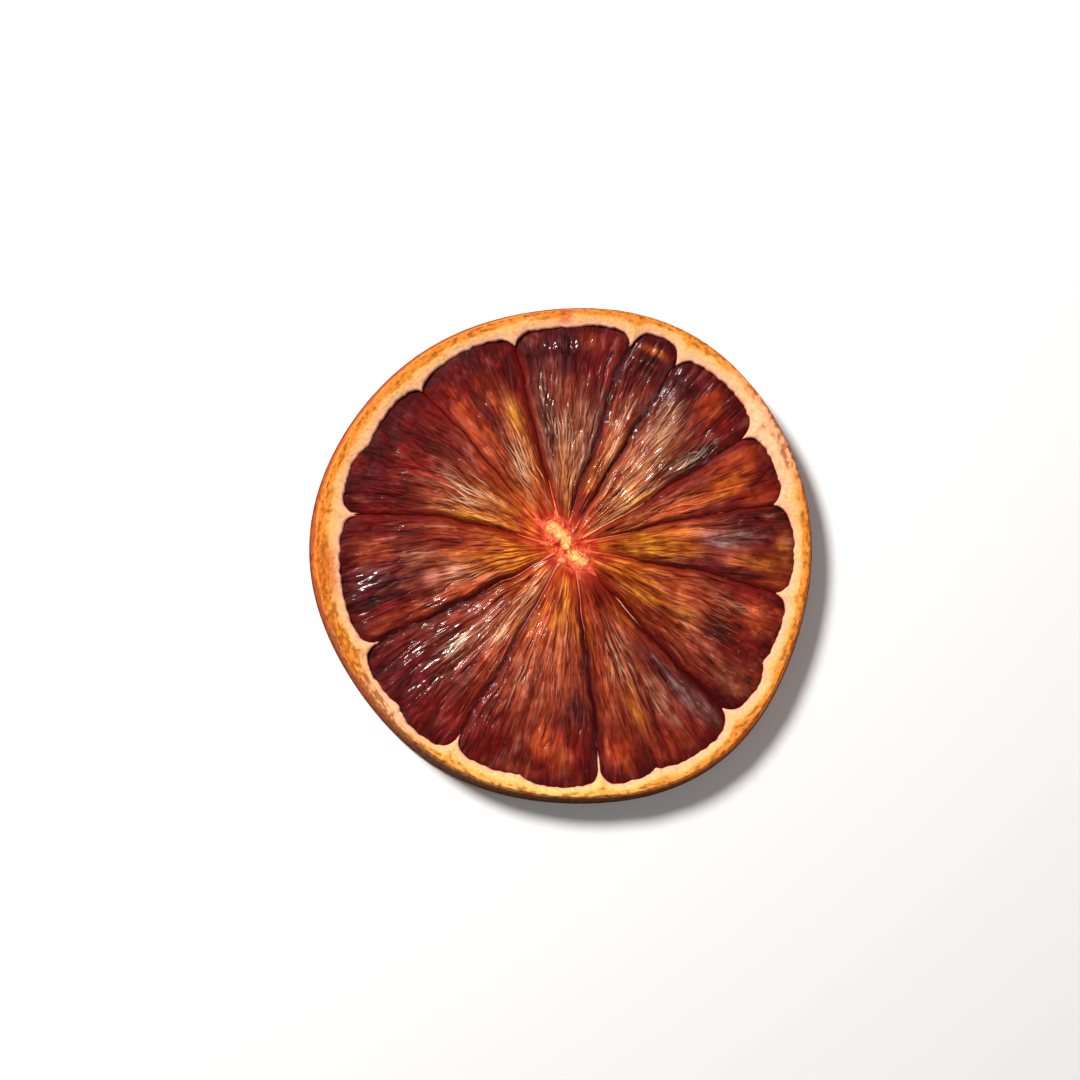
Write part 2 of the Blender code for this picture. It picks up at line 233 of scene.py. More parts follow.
# Patches of the flesh, from the bottom one up: direction, distance from the middle, half length outwards,
# half width, colour and strength
PATCHES = (
    (23, 6.2, 3.2, 1.8, "burgundy", 1), (66, 6, 3.2, 1.5, "burgundy", 1),
    (89, 5.8, 3.4, 2.4, "wine", 0.85), (297, 5.4, 2.6, 1.8, "burgundy", 0.8),
    (26, 9, 4, 1, "gold", 0.45), (20, 10, 4, 0.9, "brown", 0.7),
    (29, 13, 5, 1, "burgundy", 0.8), (21, 15.5, 4, 1.6, "rust", 0.6),
    (23.5, 21, 2.4, 1.2, "amber", 0.7), (28, 23, 2.6, 1.6, "rust", 0.8),
    (16.5, 24, 2.5, 1.5, "rust", 0.4), (16, 17, 3, 0.8, "mauve", 0.6),
    (39, 7, 4, 0.55, "straw", 0.5), (38, 10.5, 3.5, 0.8, "gold", 0.7),
    (52, 8.5, 4, 1.3, "umber", 0.5), (47, 13, 5.5, 2.6, "tan", 0.3),
    (52, 18.5, 4, 2.4, "grey", 0.6), (39, 15.5, 3.5, 1, "slate", 0.6),
    (37, 19.5, 3.8, 1.4, "black red", 0.9), (40, 23.5, 2.6, 1.2, "burgundy", 0.7),
    (55, 23.5, 3, 2.2, "plum", 0.75), (46, 24, 1.8, 1.4, "rust", 0.7),
    (66, 10, 4.5, 1, "ochre", 0.6), (67, 15.5, 4, 1.3, "tan", 0.35),
    (63, 19, 4, 1, "umber", 0.7), (70, 20, 3.5, 0.9, "burgundy", 0.8),
    (66, 24.4, 2.4, 2.2, "black red", 0.85), (67.5, 26, 0.5, 1.4, "amber", 0.6),
    (93, 9.5, 4, 0.9, "gold", 0.75), (84, 7.5, 3.5, 0.9, "burgundy", 0.6),
    (88, 14, 4.5, 2.4, "grey", 0.75), (99, 14, 6, 1.2, "slate", 0.85),
    (78, 16, 5, 1, "slate", 0.5), (100, 18, 4.5, 0.9, "plum", 0.6),
    (90, 19, 3, 2.6, "umber", 0.7), (92, 23.5, 3, 4, "plum", 0.85),
    (81, 23, 3, 1.8, "burgundy", 0.8), (84, 25.2, 1.2, 1.4, "brown", 0.5),
    (111, 8.5, 3, 1, "red", 0.5), (117, 11, 4.5, 1.8, "ochre", 0.6),
    (111.5, 16.8, 2.8, 1.1, "gold", 0.6), (116, 20.5, 3, 1.1, "brown", 0.8),
    (124, 13.5, 5, 1.2, "burgundy", 0.7), (127, 19, 4, 1.4, "rust", 0.6),
    (120, 18, 4, 0.8, "wine", 0.7), (108, 22, 3.5, 1, "wine", 0.8),
    (117, 25, 2, 3.5, "wine", 0.8), (162, 12, 4.8, 1.3, "gold", 0.95),
    (168, 14, 5, 0.8, "burgundy", 0.7), (150, 12.5, 4, 2, "tan", 0.6),
    (147, 16.5, 4, 2.2, "mauve", 0.5), (157, 17.5, 3.5, 1.6, "umber", 0.6),
    (137, 16, 6, 1, "burgundy", 0.7), (143, 21.5, 4, 2.4, "wine", 0.75),
    (151, 20, 2.2, 1.2, "red", 0.35), (163, 22.5, 3.6, 1.8, "wine", 0.8),
    (156, 25.5, 1.6, 3, "plum", 0.8), (186, 7.5, 4.2, 1.5, "gold", 0.75),
    (178, 10.5, 4, 0.9, "amber", 0.6), (175, 14, 6, 1, "burgundy", 0.75),
    (190, 15.5, 3.5, 2.2, "dusk", 0.35), (200, 12, 4, 0.9, "rust", 0.7),
    (181, 18, 3, 1.6, "grey", 0.6), (179, 23, 2.6, 1.5, "brown", 0.8),
    (191, 22.5, 4, 2.4, "plum", 0.9), (186, 25.5, 1.6, 2, "wine", 0.7),
    (202, 20.5, 4.5, 1, "brown", 0.7), (231, 8, 4.5, 1.3, "tan", 0.9),
    (222, 10, 4, 1.2, "brown", 0.6), (213, 13, 6, 1.2, "burgundy", 0.75),
    (224, 15.5, 4.5, 1.8, "dusk", 0.35), (233, 15.5, 4.5, 1.2, "rust", 0.6),
    (220, 20, 3, 1.6, "plum", 0.7), (228, 20, 3.2, 1.6, "mauve", 0.6),
    (213, 23, 4.5, 2.4, "wine", 0.8), (230, 24.5, 3, 3, "burgundy", 0.8),
    (263, 7, 4, 1.3, "gold", 0.6), (250, 9, 3.5, 1, "rust", 0.6),
    (262, 12.5, 4.5, 2.2, "brown", 0.6), (247, 16, 5.5, 1.2, "brown", 0.7),
    (256, 19, 3.5, 2, "brown", 0.7), (272, 12.5, 4, 0.9, "umber", 0.6),
    (273.5, 19.3, 1.8, 1.1, "plum", 0.95), (268, 24.6, 1.8, 1.3, "brown", 0.6),
    (262, 22.5, 2.5, 1.6, "rust", 0.6), (246, 23.5, 3, 2.2, "burgundy", 0.8),
    (256, 26.2, 0.8, 3, "brown", 0.5), (299, 8.5, 4, 1.7, "burgundy", 0.85),
    (288, 8.5, 3, 0.8, "rust", 0.6), (294, 12, 5, 2, "burgundy", 0.6),
    (285, 17, 6, 1.4, "brown", 0.7), (293, 20, 4, 1, "ochre", 0.5),
    (303, 14, 3.5, 1, "umber", 0.8), (307.5, 17.5, 4.5, 1, "plum", 0.95),
    (310, 22, 4.5, 1.3, "slate", 0.7), (302, 21, 4, 1.2, "grey", 0.5),
    (284, 24.5, 2.2, 1.6, "rust", 0.7), (300, 26, 1.4, 3, "rust", 0.3),
    (331, 9.5, 4, 1.5, "olive", 0.9), (326, 5.6, 2.6, 1.8, "burgundy", 0.7),
    (338, 8, 4, 0.9, "ochre", 0.8), (321, 11.5, 5, 1.2, "burgundy", 0.85),
    (331, 14, 3, 1.8, "ochre", 0.7), (340, 15.5, 5, 1.6, "brown", 0.8),
    (327, 19, 3, 2, "brown", 0.7), (337, 21, 2.5, 2, "umber", 0.4),
    (331, 19.5, 2, 1.6, "plum", 0.8), (322, 23.5, 3.5, 1.6, "grey", 0.4),
    (325, 25.6, 1.4, 2.2, "brown", 0.6), (341, 24.5, 2.2, 2, "rust", 0.55),
    (4, 8.5, 4.5, 1.6, "olive", 0.75), (0, 12.5, 4, 1.2, "gold", 0.55),
    (352, 15, 7, 1.1, "plum", 1), (9, 14.5, 3, 1, "amber", 0.5),
    (5, 20, 4, 1.2, "slate", 0.7), (10, 22.5, 4, 1.4, "black red", 0.75),
    (358, 18, 3.5, 1, "mauve", 0.6), (356, 23, 3.5, 1.6, "ochre", 0.5),
    (2, 25.8, 1.2, 1.6, "ochre", 0.4), (351, 24, 2.5, 1.2, "brown", 0.7),
)

# Where the threads are pale: direction, distance, half length, half width, strength. The row at 37.5
# degrees is
# a painted highlight: its pale threads over the dark fold stand in for silver glints.
LIGHT_THREADS = (
    (48, 12, 8, 3, 0.8), (37.5, 18.5, 4, 1, 0.9), (99, 15, 5, 0.8, 0.8),
    (44, 7.5, 3.5, 1.6, 1), (54, 20, 4, 2.4, 0.6), (66, 15, 6, 1.8, 0.8),
    (90, 13, 6, 3.2, 0.8), (117, 11.5, 5.5, 2.4, 1), (22, 11, 5.5, 1.6, 0.6),
    (153, 13.5, 5, 2.6, 1), (190, 12.5, 4.5, 2.4, 0.8), (231, 11, 7.5, 1.6, 0.9),
    (219, 15, 5, 1.8, 0.9), (250, 17, 6, 2.4, 0.6), (264, 12, 6, 2, 0.4),
    (294, 13, 5, 2, 0.8), (300, 21, 4, 2, 0.5), (330, 15, 5.5, 2.6, 0.5),
    (342, 20, 4, 1.4, 0.5), (8, 17.5, 6, 1.4, 0.25), (357, 14, 5, 1.6, 0.3),
)

# Folds of the flesh: direction, distance, half length, half width, height
FOLDS = (
    (37.5, 18.5, 4.5, 0.8, 0.42), (41, 14.5, 4, 0.5, 0.16), (54, 22.5, 3, 0.7, 0.2),
    (27, 20, 4, 0.7, 0.18), (20, 15, 4, 0.5, 0.14), (67, 24.3, 0.8, 1.8, 0.25),
    (65, 17, 4, 0.5, 0.15), (90, 24.2, 0.7, 3.4, 0.25), (99, 15, 5, 0.5, 0.2),
    (82, 17, 5, 0.5, 0.18), (111.5, 16.8, 2.8, 0.7, 0.22), (118, 21.5, 3, 0.6, 0.2),
    (125, 17, 5, 0.5, 0.18), (140, 18, 5, 0.7, 0.2), (150, 21, 3.5, 0.6, 0.22),
    (158, 23, 2.5, 0.8, 0.22), (162, 12, 4, 0.6, 0.14), (178, 21.5, 3.5, 0.7, 0.22),
    (189, 22.5, 2.6, 0.9, 0.2), (200, 15.5, 1.6, 0.8, 0.25), (192, 15, 3.5, 0.5, 0.16),
    (213, 15.5, 4.5, 0.6, 0.22), (221, 18.5, 4.5, 0.7, 0.24), (232, 19, 4, 0.6, 0.2),
    (247, 17, 5, 0.5, 0.2), (257, 21, 3.5, 0.6, 0.2), (268, 19, 4, 0.5, 0.16),
    (285, 19, 5, 0.6, 0.2), (296, 15, 4, 0.5, 0.16), (308, 18.5, 5, 0.6, 0.26),
    (302, 22.5, 3.5, 0.5, 0.2), (322, 17, 5, 0.6, 0.2), (333, 22, 2.5, 0.7, 0.2),
    (342, 18, 4, 0.5, 0.18), (353, 15, 5, 0.5, 0.2), (359, 21, 3.5, 0.6, 0.2),
    (7, 20, 4, 0.6, 0.24),
)

# Where the flesh is wet and catches the light: direction, distance, half length, half width, strength
WET_PATCHES = (
    (36.5, 18.5, 4.5, 1.3, 1), (47, 12, 5, 2, 0.5), (98, 15, 5.5, 1, 0.9),
    (90, 24.8, 1, 3.4, 0.5), (68, 25.6, 0.7, 1.4, 0.4), (117, 9.5, 3.5, 1.6, 0.6),
    (152, 20, 3.5, 3, 0.35), (200, 15.5, 2.2, 1.3, 1), (189, 22.5, 3, 2.2, 0.6),
    (213, 15.5, 5.5, 1.6, 1), (221, 18.5, 5, 1.8, 1), (250, 12, 4, 1.2, 0.4),
    (296, 13, 3, 1.6, 0.8), (309, 20, 5, 1.2, 0.7), (326, 22, 4, 3, 0.8),
    (340, 24, 2.5, 2, 0.5), (352, 15, 5, 0.8, 0.5), (8, 21, 4, 1.4, 0.6),
)

# The flanks of each membrane: colour, half width on its left and right as seen looking out, depth of the
# crease and strength of the colour
FLANKS = (
    ("burgundy", 0.5, 0.5, 0.15, 0.7),
    ("burgundy", 0.4, 0.9, 0.2, 0.7),
    ("plum", 0.6, 0.7, 0.25, 0.7),
    ("plum", 0.6, 0.9, 0.25, 0.8),
    ("burgundy", 1.0, 0.7, 0.2, 0.85),
    ("burgundy", 0.5, 0.6, 0.1, 0.5),
    ("burgundy", 1.1, 0.6, 0.25, 0.85),
    ("wine", 0.7, 1.1, 0.25, 0.9),
    ("burgundy", 0.8, 0.7, 0.2, 0.8),
    ("wine", 0.6, 1.0, 0.25, 0.9),
    ("wine", 1.0, 1.1, 0.2, 0.85),
    ("burgundy", 0.8, 0.6, 0.15, 0.7),
)

# How bubbly the outer end of each segment is
BUBBLES = (0.3, 0.3, 0.3, 0.5, 0.6, 0.6, 0.4, 0.6, 0.4, 0.4, 1.0, 0.4)

SEED = 20


def srgb(name):
    """The named colour as linear red, green and blue."""
    share = np.array(PALETTE[name]) / 255.0
    return np.where(share <= 0.04045, share / 12.92, ((share + 0.055) / 1.055) ** 2.4)


def between(a, b, share):
    return a + (b - a) * share


def tint(colour, other, share):
    """Mixes colours, one share for each point."""
    return colour + (other - colour) * np.asarray(share)[..., None]


def painted(look, *layers):
    """Lays named colours over a look, each with a share for every point."""
    for name, share in layers:
        look = tint(look, srgb(name), share)
    return look


def smooth(value, low=0.0, high=1.0):
    """0 below low, 1 above high, and a soft step between them."""
    share = np.clip((value - low) / (high - low), 0.0, 1.0)
    return share * share * (3.0 - 2.0 * share)


def bell(distance, width, power=2.0):
    return np.exp(-(np.abs(distance) / width) ** power)


# Noise

LATTICE = 256
DRAW = np.random.default_rng(SEED)
SHUFFLE = DRAW.permutation(LATTICE)
SLOPES = DRAW.normal(size=(LATTICE, 3))
SLOPES /= np.linalg.norm(SLOPES, axis=1, keepdims=True)
NOISE_GAIN = 1.5


def noise(points):
    """Gradient noise of about -1 to 1 at rows of x, y and z."""
    cell = np.floor(points).astype(int)
    inside = points - cell
    fade = inside**3 * (inside * (inside * 6.0 - 15.0) + 10.0)
    total = np.zeros(len(points))
    for corner in product((0, 1), repeat=3):
        x, y, z = ((cell + corner) % LATTICE).T
        slope = SLOPES[SHUFFLE[(SHUFFLE[(SHUFFLE[x] + y) % LATTICE] + z) % LATTICE]]
        weight = np.where(corner, fade, 1.0 - fade).prod(axis=1)
        total += weight * (slope * (inside - corner)).sum(axis=1)
    return total * NOISE_GAIN


def rough(x, y, z, octaves=3):
    """Noise with finer and finer waves."""
    points = np.column_stack(np.broadcast_arrays(x, y, z)).astype(float)
    total, weight = 0.0, 1.0
    for octave in range(octaves):
        total = total + weight * noise(points * 2.0**octave + 17.0 * octave)
        weight *= 0.5
    return total


def waves(kind, x, y, seed):
    width, length, offset, octaves = WAVES[kind]
    return rough(x / width, y / length, seed + offset, octaves)


# Plan and heights, the same as in the solid

def at(radius, degrees):
    angle = np.radians(degrees)
    return np.stack((radius * np.cos(angle), radius * np.sin(angle)), axis=-1)


def left_of(way):
    return np.stack((-way[..., 1], way[..., 0]), axis=-1)


def outline(degrees):
    """Radius of the outline as a share of the circle's."""
    radius = 1.0
    for count, share, crest in OUTLINE_WAVES:
        radius = radius + share * np.cos(count * np.radians(degrees - crest))
    return radius


def flesh_edge(degrees, face):
    """Radius of the flesh where it meets the rind."""
    starts = BAYS[:, 0] - BAYS[0, 0]
    past = (degrees - BAYS[0, 0]) % 360.0
    index = np.searchsorted(starts, past, side="right") - 1
    after = (index + 1) % len(BAYS)
    across = (past - starts[index]) / ((BAYS[after, 0] - BAYS[index, 0]) % 360.0)
    pinch = np.abs(2.0 * across - 1.0) ** CUSP_SHARPNESS
    radius = between(BAYS[index, 2], between(BAYS[index, 1], BAYS[after, 1], across), pinch)
    return radius + (LOWER_FLESH_GROWTH if face < 0 else 0.0)


def core_edge(degrees):
    turned = np.radians(degrees - CORE_TILT_DEG)
    reach = 1.0 / np.hypot(np.cos(turned) / CORE_HALF_LENGTH, np.sin(turned) / CORE_HALF_WIDTH)
    return CORE_CENTRE + at(reach, degrees)


def membrane(index):
    rim, core, bow = MEMBRANES[index % len(MEMBRANES)]
    laps = 360.0 * (index // len(MEMBRANES))
    return rim + laps, core + laps, bow


def meander(index, along):
    """How far a membrane strays to its left on its way out."""
    along = np.asarray(along, float)
    places = np.column_stack((
        np.full(along.size, 3.7 * (index % len(MEMBRANES)) + 0.4),
        5.0 * along.ravel(),
        np.full(along.size, 21.5),
    ))
    stray = noise(places) + 0.5 * noise(places * 2.6)
    shown = smooth(along, 0.02, 0.3) * (1.0 - smooth(along, 0.8, 0.97))
    return MEANDER * stray.reshape(along.shape) * shown


def plan_point(segment, across, along, face):
    """A point of the flesh in plan: across runs from one membrane to the next, along from core to rind."""
    (rim, core, bow), (next_rim, next_core, next_bow) = membrane(segment), membrane(segment + 1)
    start = core_edge(between(core, next_core, across))
    direction = between(rim, next_rim, across)
    end = at(flesh_edge(direction, face), direction)
    run = end - start
    left = left_of(run) / np.linalg.norm(run, axis=-1, keepdims=True)
    wander = between(meander(segment, along), meander(segment + 1, along), across)
    offset = between(bow, next_bow, across) * 4.0 * along * (1.0 - along) + wander
    return start + run * np.asarray(along)[..., None] + left * np.asarray(offset)[..., None]


def drying_wave(degrees):
    return np.cos(2.0 * np.radians(degrees - WARP_DIRECTION_DEG))


def warp(degrees, radius):
    return WARP_RISE * (radius / BASE_RADIUS) ** 2 * drying_wave(degrees)


def rim_low(degrees):
    return WARP_RISE * np.maximum(0.0, drying_wave(degrees) - REST_SHARE)


def middle_height(plan):
    """Height of the slice's middle at points of the plan."""
    degrees = np.degrees(np.arctan2(plan[:, 1], plan[:, 0]))
    return MIDDLE_HEIGHT + warp(degrees, np.linalg.norm(plan, axis=1))


def plan_of_box():
    """Middle and size of the outline's box, in the slice's own plan."""
    directions = np.arange(0.0, 360.0, 0.1)
    edge = at(BASE_RADIUS * outline(directions), directions)
    low, high = edge.min(axis=0), edge.max(axis=0)
    return (low + high) / 2.0, high - low


# Into the frame

BOX_LOW, BOX_HIGH = (np.array(corner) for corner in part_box("dried_slice"))
PLAN_MIDDLE, PLAN_SIZE = plan_of_box()
SCALE = (BOX_HIGH[0] - BOX_LOW[0]) / PLAN_SIZE[0]


def in_frame(points):
    """Rows of millimetres in the slice's own plan as metres in the frame."""
    moved = np.array(points, float)
    moved[:, :2] -= PLAN_MIDDLE
    moved *= SCALE
    moved[:, :2] += (BOX_LOW[:2] + BOX_HIGH[:2]) / 2.0
    moved[:, 2] += BOX_LOW[2]
    return moved


def add_object(name, data):
    added = bpy.data.objects.new(name, data)
    bpy.context.scene.collection.objects.link(added)
    return added


def make_piece(name, points, faces, material, attributes):
    """A mesh piece that rides on the slice and stands for its solid."""
    mesh = bpy.data.meshes.new(name)
    mesh.from_pydata(in_frame(points).tolist(), [], faces)
    for attribute, values in attributes.items():
        add_attribute(mesh, attribute, values)
    mesh.materials.append(material)
    mesh.shade_smooth()
    piece = add_object(name, mesh)
    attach(piece, "root")
    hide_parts("dried_slice")


# Each attribute of the points: Blender's kind and the field that holds its values
ATTRIBUTE_KINDS = {
    "look": ("FLOAT_COLOR", "color"),
    "gloss": ("FLOAT", "value"),
    "fan": ("FLOAT_VECTOR", "vector"),
}


def add_attribute(mesh, name, values):
    kind, field = ATTRIBUTE_KINDS[name]
    if name == "look":
        values = np.column_stack((np.clip(values, 0.0, 1.0), np.ones(len(values))))
    layer = mesh.attributes.new(name, kind, "POINT")
    layer.data.foreach_set(field, np.asarray(values, np.float32).ravel())


# Faces

def grid(rows, columns, first=0):
    """Numbers of points that lie in rows, from this number on."""
    return first + np.arange(rows * columns).reshape(rows, columns)


def closed(numbers, axis):
    """The grid with its first row or column once more at its end."""
    return np.concatenate((numbers, numbers.take([0], axis)), axis)


def quads(numbers, flip=False):
    """Faces between the neighbours in a grid of points."""
    corners = (numbers[:-1, :-1], numbers[:-1, 1:], numbers[1:, 1:], numbers[1:, :-1])
    faces = np.stack(corners, axis=-1).reshape(-1, 4)
    return (faces[:, ::-1] if flip else faces).tolist()


def border(numbers):
    """The grid's outer points in turn."""
    return [*numbers[0, :-1], *numbers[:-1, -1], *numbers[-1, :0:-1], *numbers[:0:-1, 0]]


def stitch(fine, coarse):
    """Triangles between a border and one with half as many points."""
    faces = []
    for place, corner in enumerate(coarse):
        first, middle = fine[2 * place], fine[2 * place + 1]
        last, next_corner = fine[(2 * place + 2) % len(fine)], coarse[(place + 1) % len(coarse)]
        faces += [(middle, first, corner), (middle, corner, next_corner), (last, middle, next_corner)]
    return [tuple(int(point) for point in face) for face in faces]


# Patterns on the flesh

def patch_share(plan, direction, distance, half_length, half_width, fray):
    """How much of a patch shows at each point: frayed along the threads."""
    way = at(1.0, direction)
    offset = plan - way * distance
    along = (offset @ way) / half_length + 0.55 * fray
    across = (offset @ left_of(way)) / half_width + 0.45 * fray
    return bell(np.hypot(along, across), 1.0, 2.6)


def patch_sum(table, segment, plan, fray):
    """The strength of all patches of a table that lie in a segment."""
    total = np.zeros(len(plan))
    for *patch, strength in table:
        if in_segment(segment, patch[0]):
            total = np.maximum(total, strength * patch_share(plan, *patch, fray))
    return total


def in_segment(segment, direction):
    low, high = membrane(segment)[0], membrane(segment + 1)[0]
    return low < direction < high or low < direction + 360.0 < high


def draw_strokes(segment, face, kind):
    """Places, ways and sizes of a segment's strokes of one kind, scattered from core to rind."""
    spacing, lengths, widths, spread_deg, seed = STROKES[kind]
    draw = np.random.default_rng((SEED, seed, segment, 1 + face))
    ends = plan_point(segment, np.array((0.0, 1.0)), 0.6, face)
    count = round(float(np.linalg.norm(ends[1] - ends[0])) * (FACE_RADIUS - CORE_HALF_LENGTH) / spacing**2)
    across, along = draw.uniform(0.02, 0.98, count), draw.uniform(0.02, 0.98, count)
    centres = plan_point(segment, across, along, face)
    ahead = plan_point(segment, across, along + 0.02, face) - centres
    turn = np.arctan2(ahead[:, 1], ahead[:, 0]) + np.radians(draw.normal(0.0, spread_deg, count))
    length = draw.uniform(*lengths, count) * (0.35 + 0.65 * smooth(along, 0.0, 0.35))
    width = draw.uniform(*widths, count)
    bend = draw.normal(0.0, STROKE_BEND, count)
    strength = draw.uniform(0.35, 1.0, count)
    parts = (*centres.T, np.cos(turn), np.sin(turn), length, width, bend, strength)
    return [part.astype(np.float32) for part in parts]


def strokes(segment, face, plan, kind, widening=1.0, chunk=2500):
    """How strongly the strokes of one kind show at each point: 0 between them and up to 1 on them."""
    x, y, way_x, way_y, length, width, bend, strength = draw_strokes(segment, face, kind)
    width = width * widening
    shown = []
    for start in range(0, len(plan), chunk):
        near = plan[start:start + chunk, :, None].astype(np.float32)
        off_x, off_y = near[:, 0] - x, near[:, 1] - y
        along = (off_x * way_x + off_y * way_y) / length
        taper = np.maximum(1.0 - along * along, 0.0)
        across = np.abs(off_y * way_x - off_x * way_y + bend * along * along) / width
        shown.append((strength * np.clip(1.4 * taper - across, 0.0, 1.0)).max(axis=1))
    return np.concatenate(shown).astype(float)


def sac_centres(segment, face):
    """Centres and half sizes of the round sacs at the outer end of a segment."""
    draw = np.random.default_rng((SEED, segment, 1 + face))
    inner, outer = plan_point(segment, 0.5, np.array((SAC_START, 1.0)), face)
    ends = plan_point(segment, np.array((0.0, 1.0)), 0.85, face)
    wide, deep = np.linalg.norm(ends[1] - ends[0]), np.linalg.norm(outer - inner)
    columns, rows = max(3, round(wide / SAC_WIDTH)), max(3, round(deep / SAC_LENGTH))
    column, row = np.meshgrid(np.arange(columns), np.arange(rows))
    across = (column.ravel() + draw.uniform(0.0, 1.0, columns * rows)) / columns
    along = SAC_START + SAC_SPREAD * (row.ravel() + draw.uniform(0.0, 1.0, columns * rows)) / rows
    centres = plan_point(segment, across, along, face)
    return centres, draw.uniform(0.7, 1.3, len(centres)), draw.normal(0.0, 1.0, len(centres))


def sacs(segment, face, plan, chunk=3000):
    """How far each point is inside its round sac, 0 at the border and up to 1, and the sac's shade."""
    centres, sizes, shades = sac_centres(segment, face)
    way = plan_point(segment, 0.5, np.array((0.6, 1.0)), face)
    way = (way[1] - way[0]) / np.linalg.norm(way[1] - way[0])
    inside, owners = [], []
    for start in range(0, len(plan), chunk):
        offset = plan[start:start + chunk, None, :] - centres
        along = (offset @ way) / (SAC_LENGTH * sizes)
        across = (offset @ left_of(way)) / (SAC_WIDTH * sizes)
        distance = np.hypot(along, across)
        two = np.partition(distance, 1, axis=1)[:, :2]
        inside.append(1.0 - np.exp(SAC_EDGE * (two[:, 0] - two[:, 1])))
        owners.append(distance.argmin(axis=1))
    return np.concatenate(inside), shades[np.concatenate(owners)]


# Flesh

def flesh_ground(across, along):
    """Height of the flesh above or below the slice's middle before its threads."""
    thickness = 1.0 - FLESH_TAPER * along - FLESH_FALL * along**FALL_SHARPNESS
    valley = np.abs(2.0 * across - 1.0) ** CROWN_FULLNESS * np.minimum(1.0, along / VALLEY_START)
    return FLESH_HALF_THICKNESS * thickness - VALLEY_DEPTH * valley


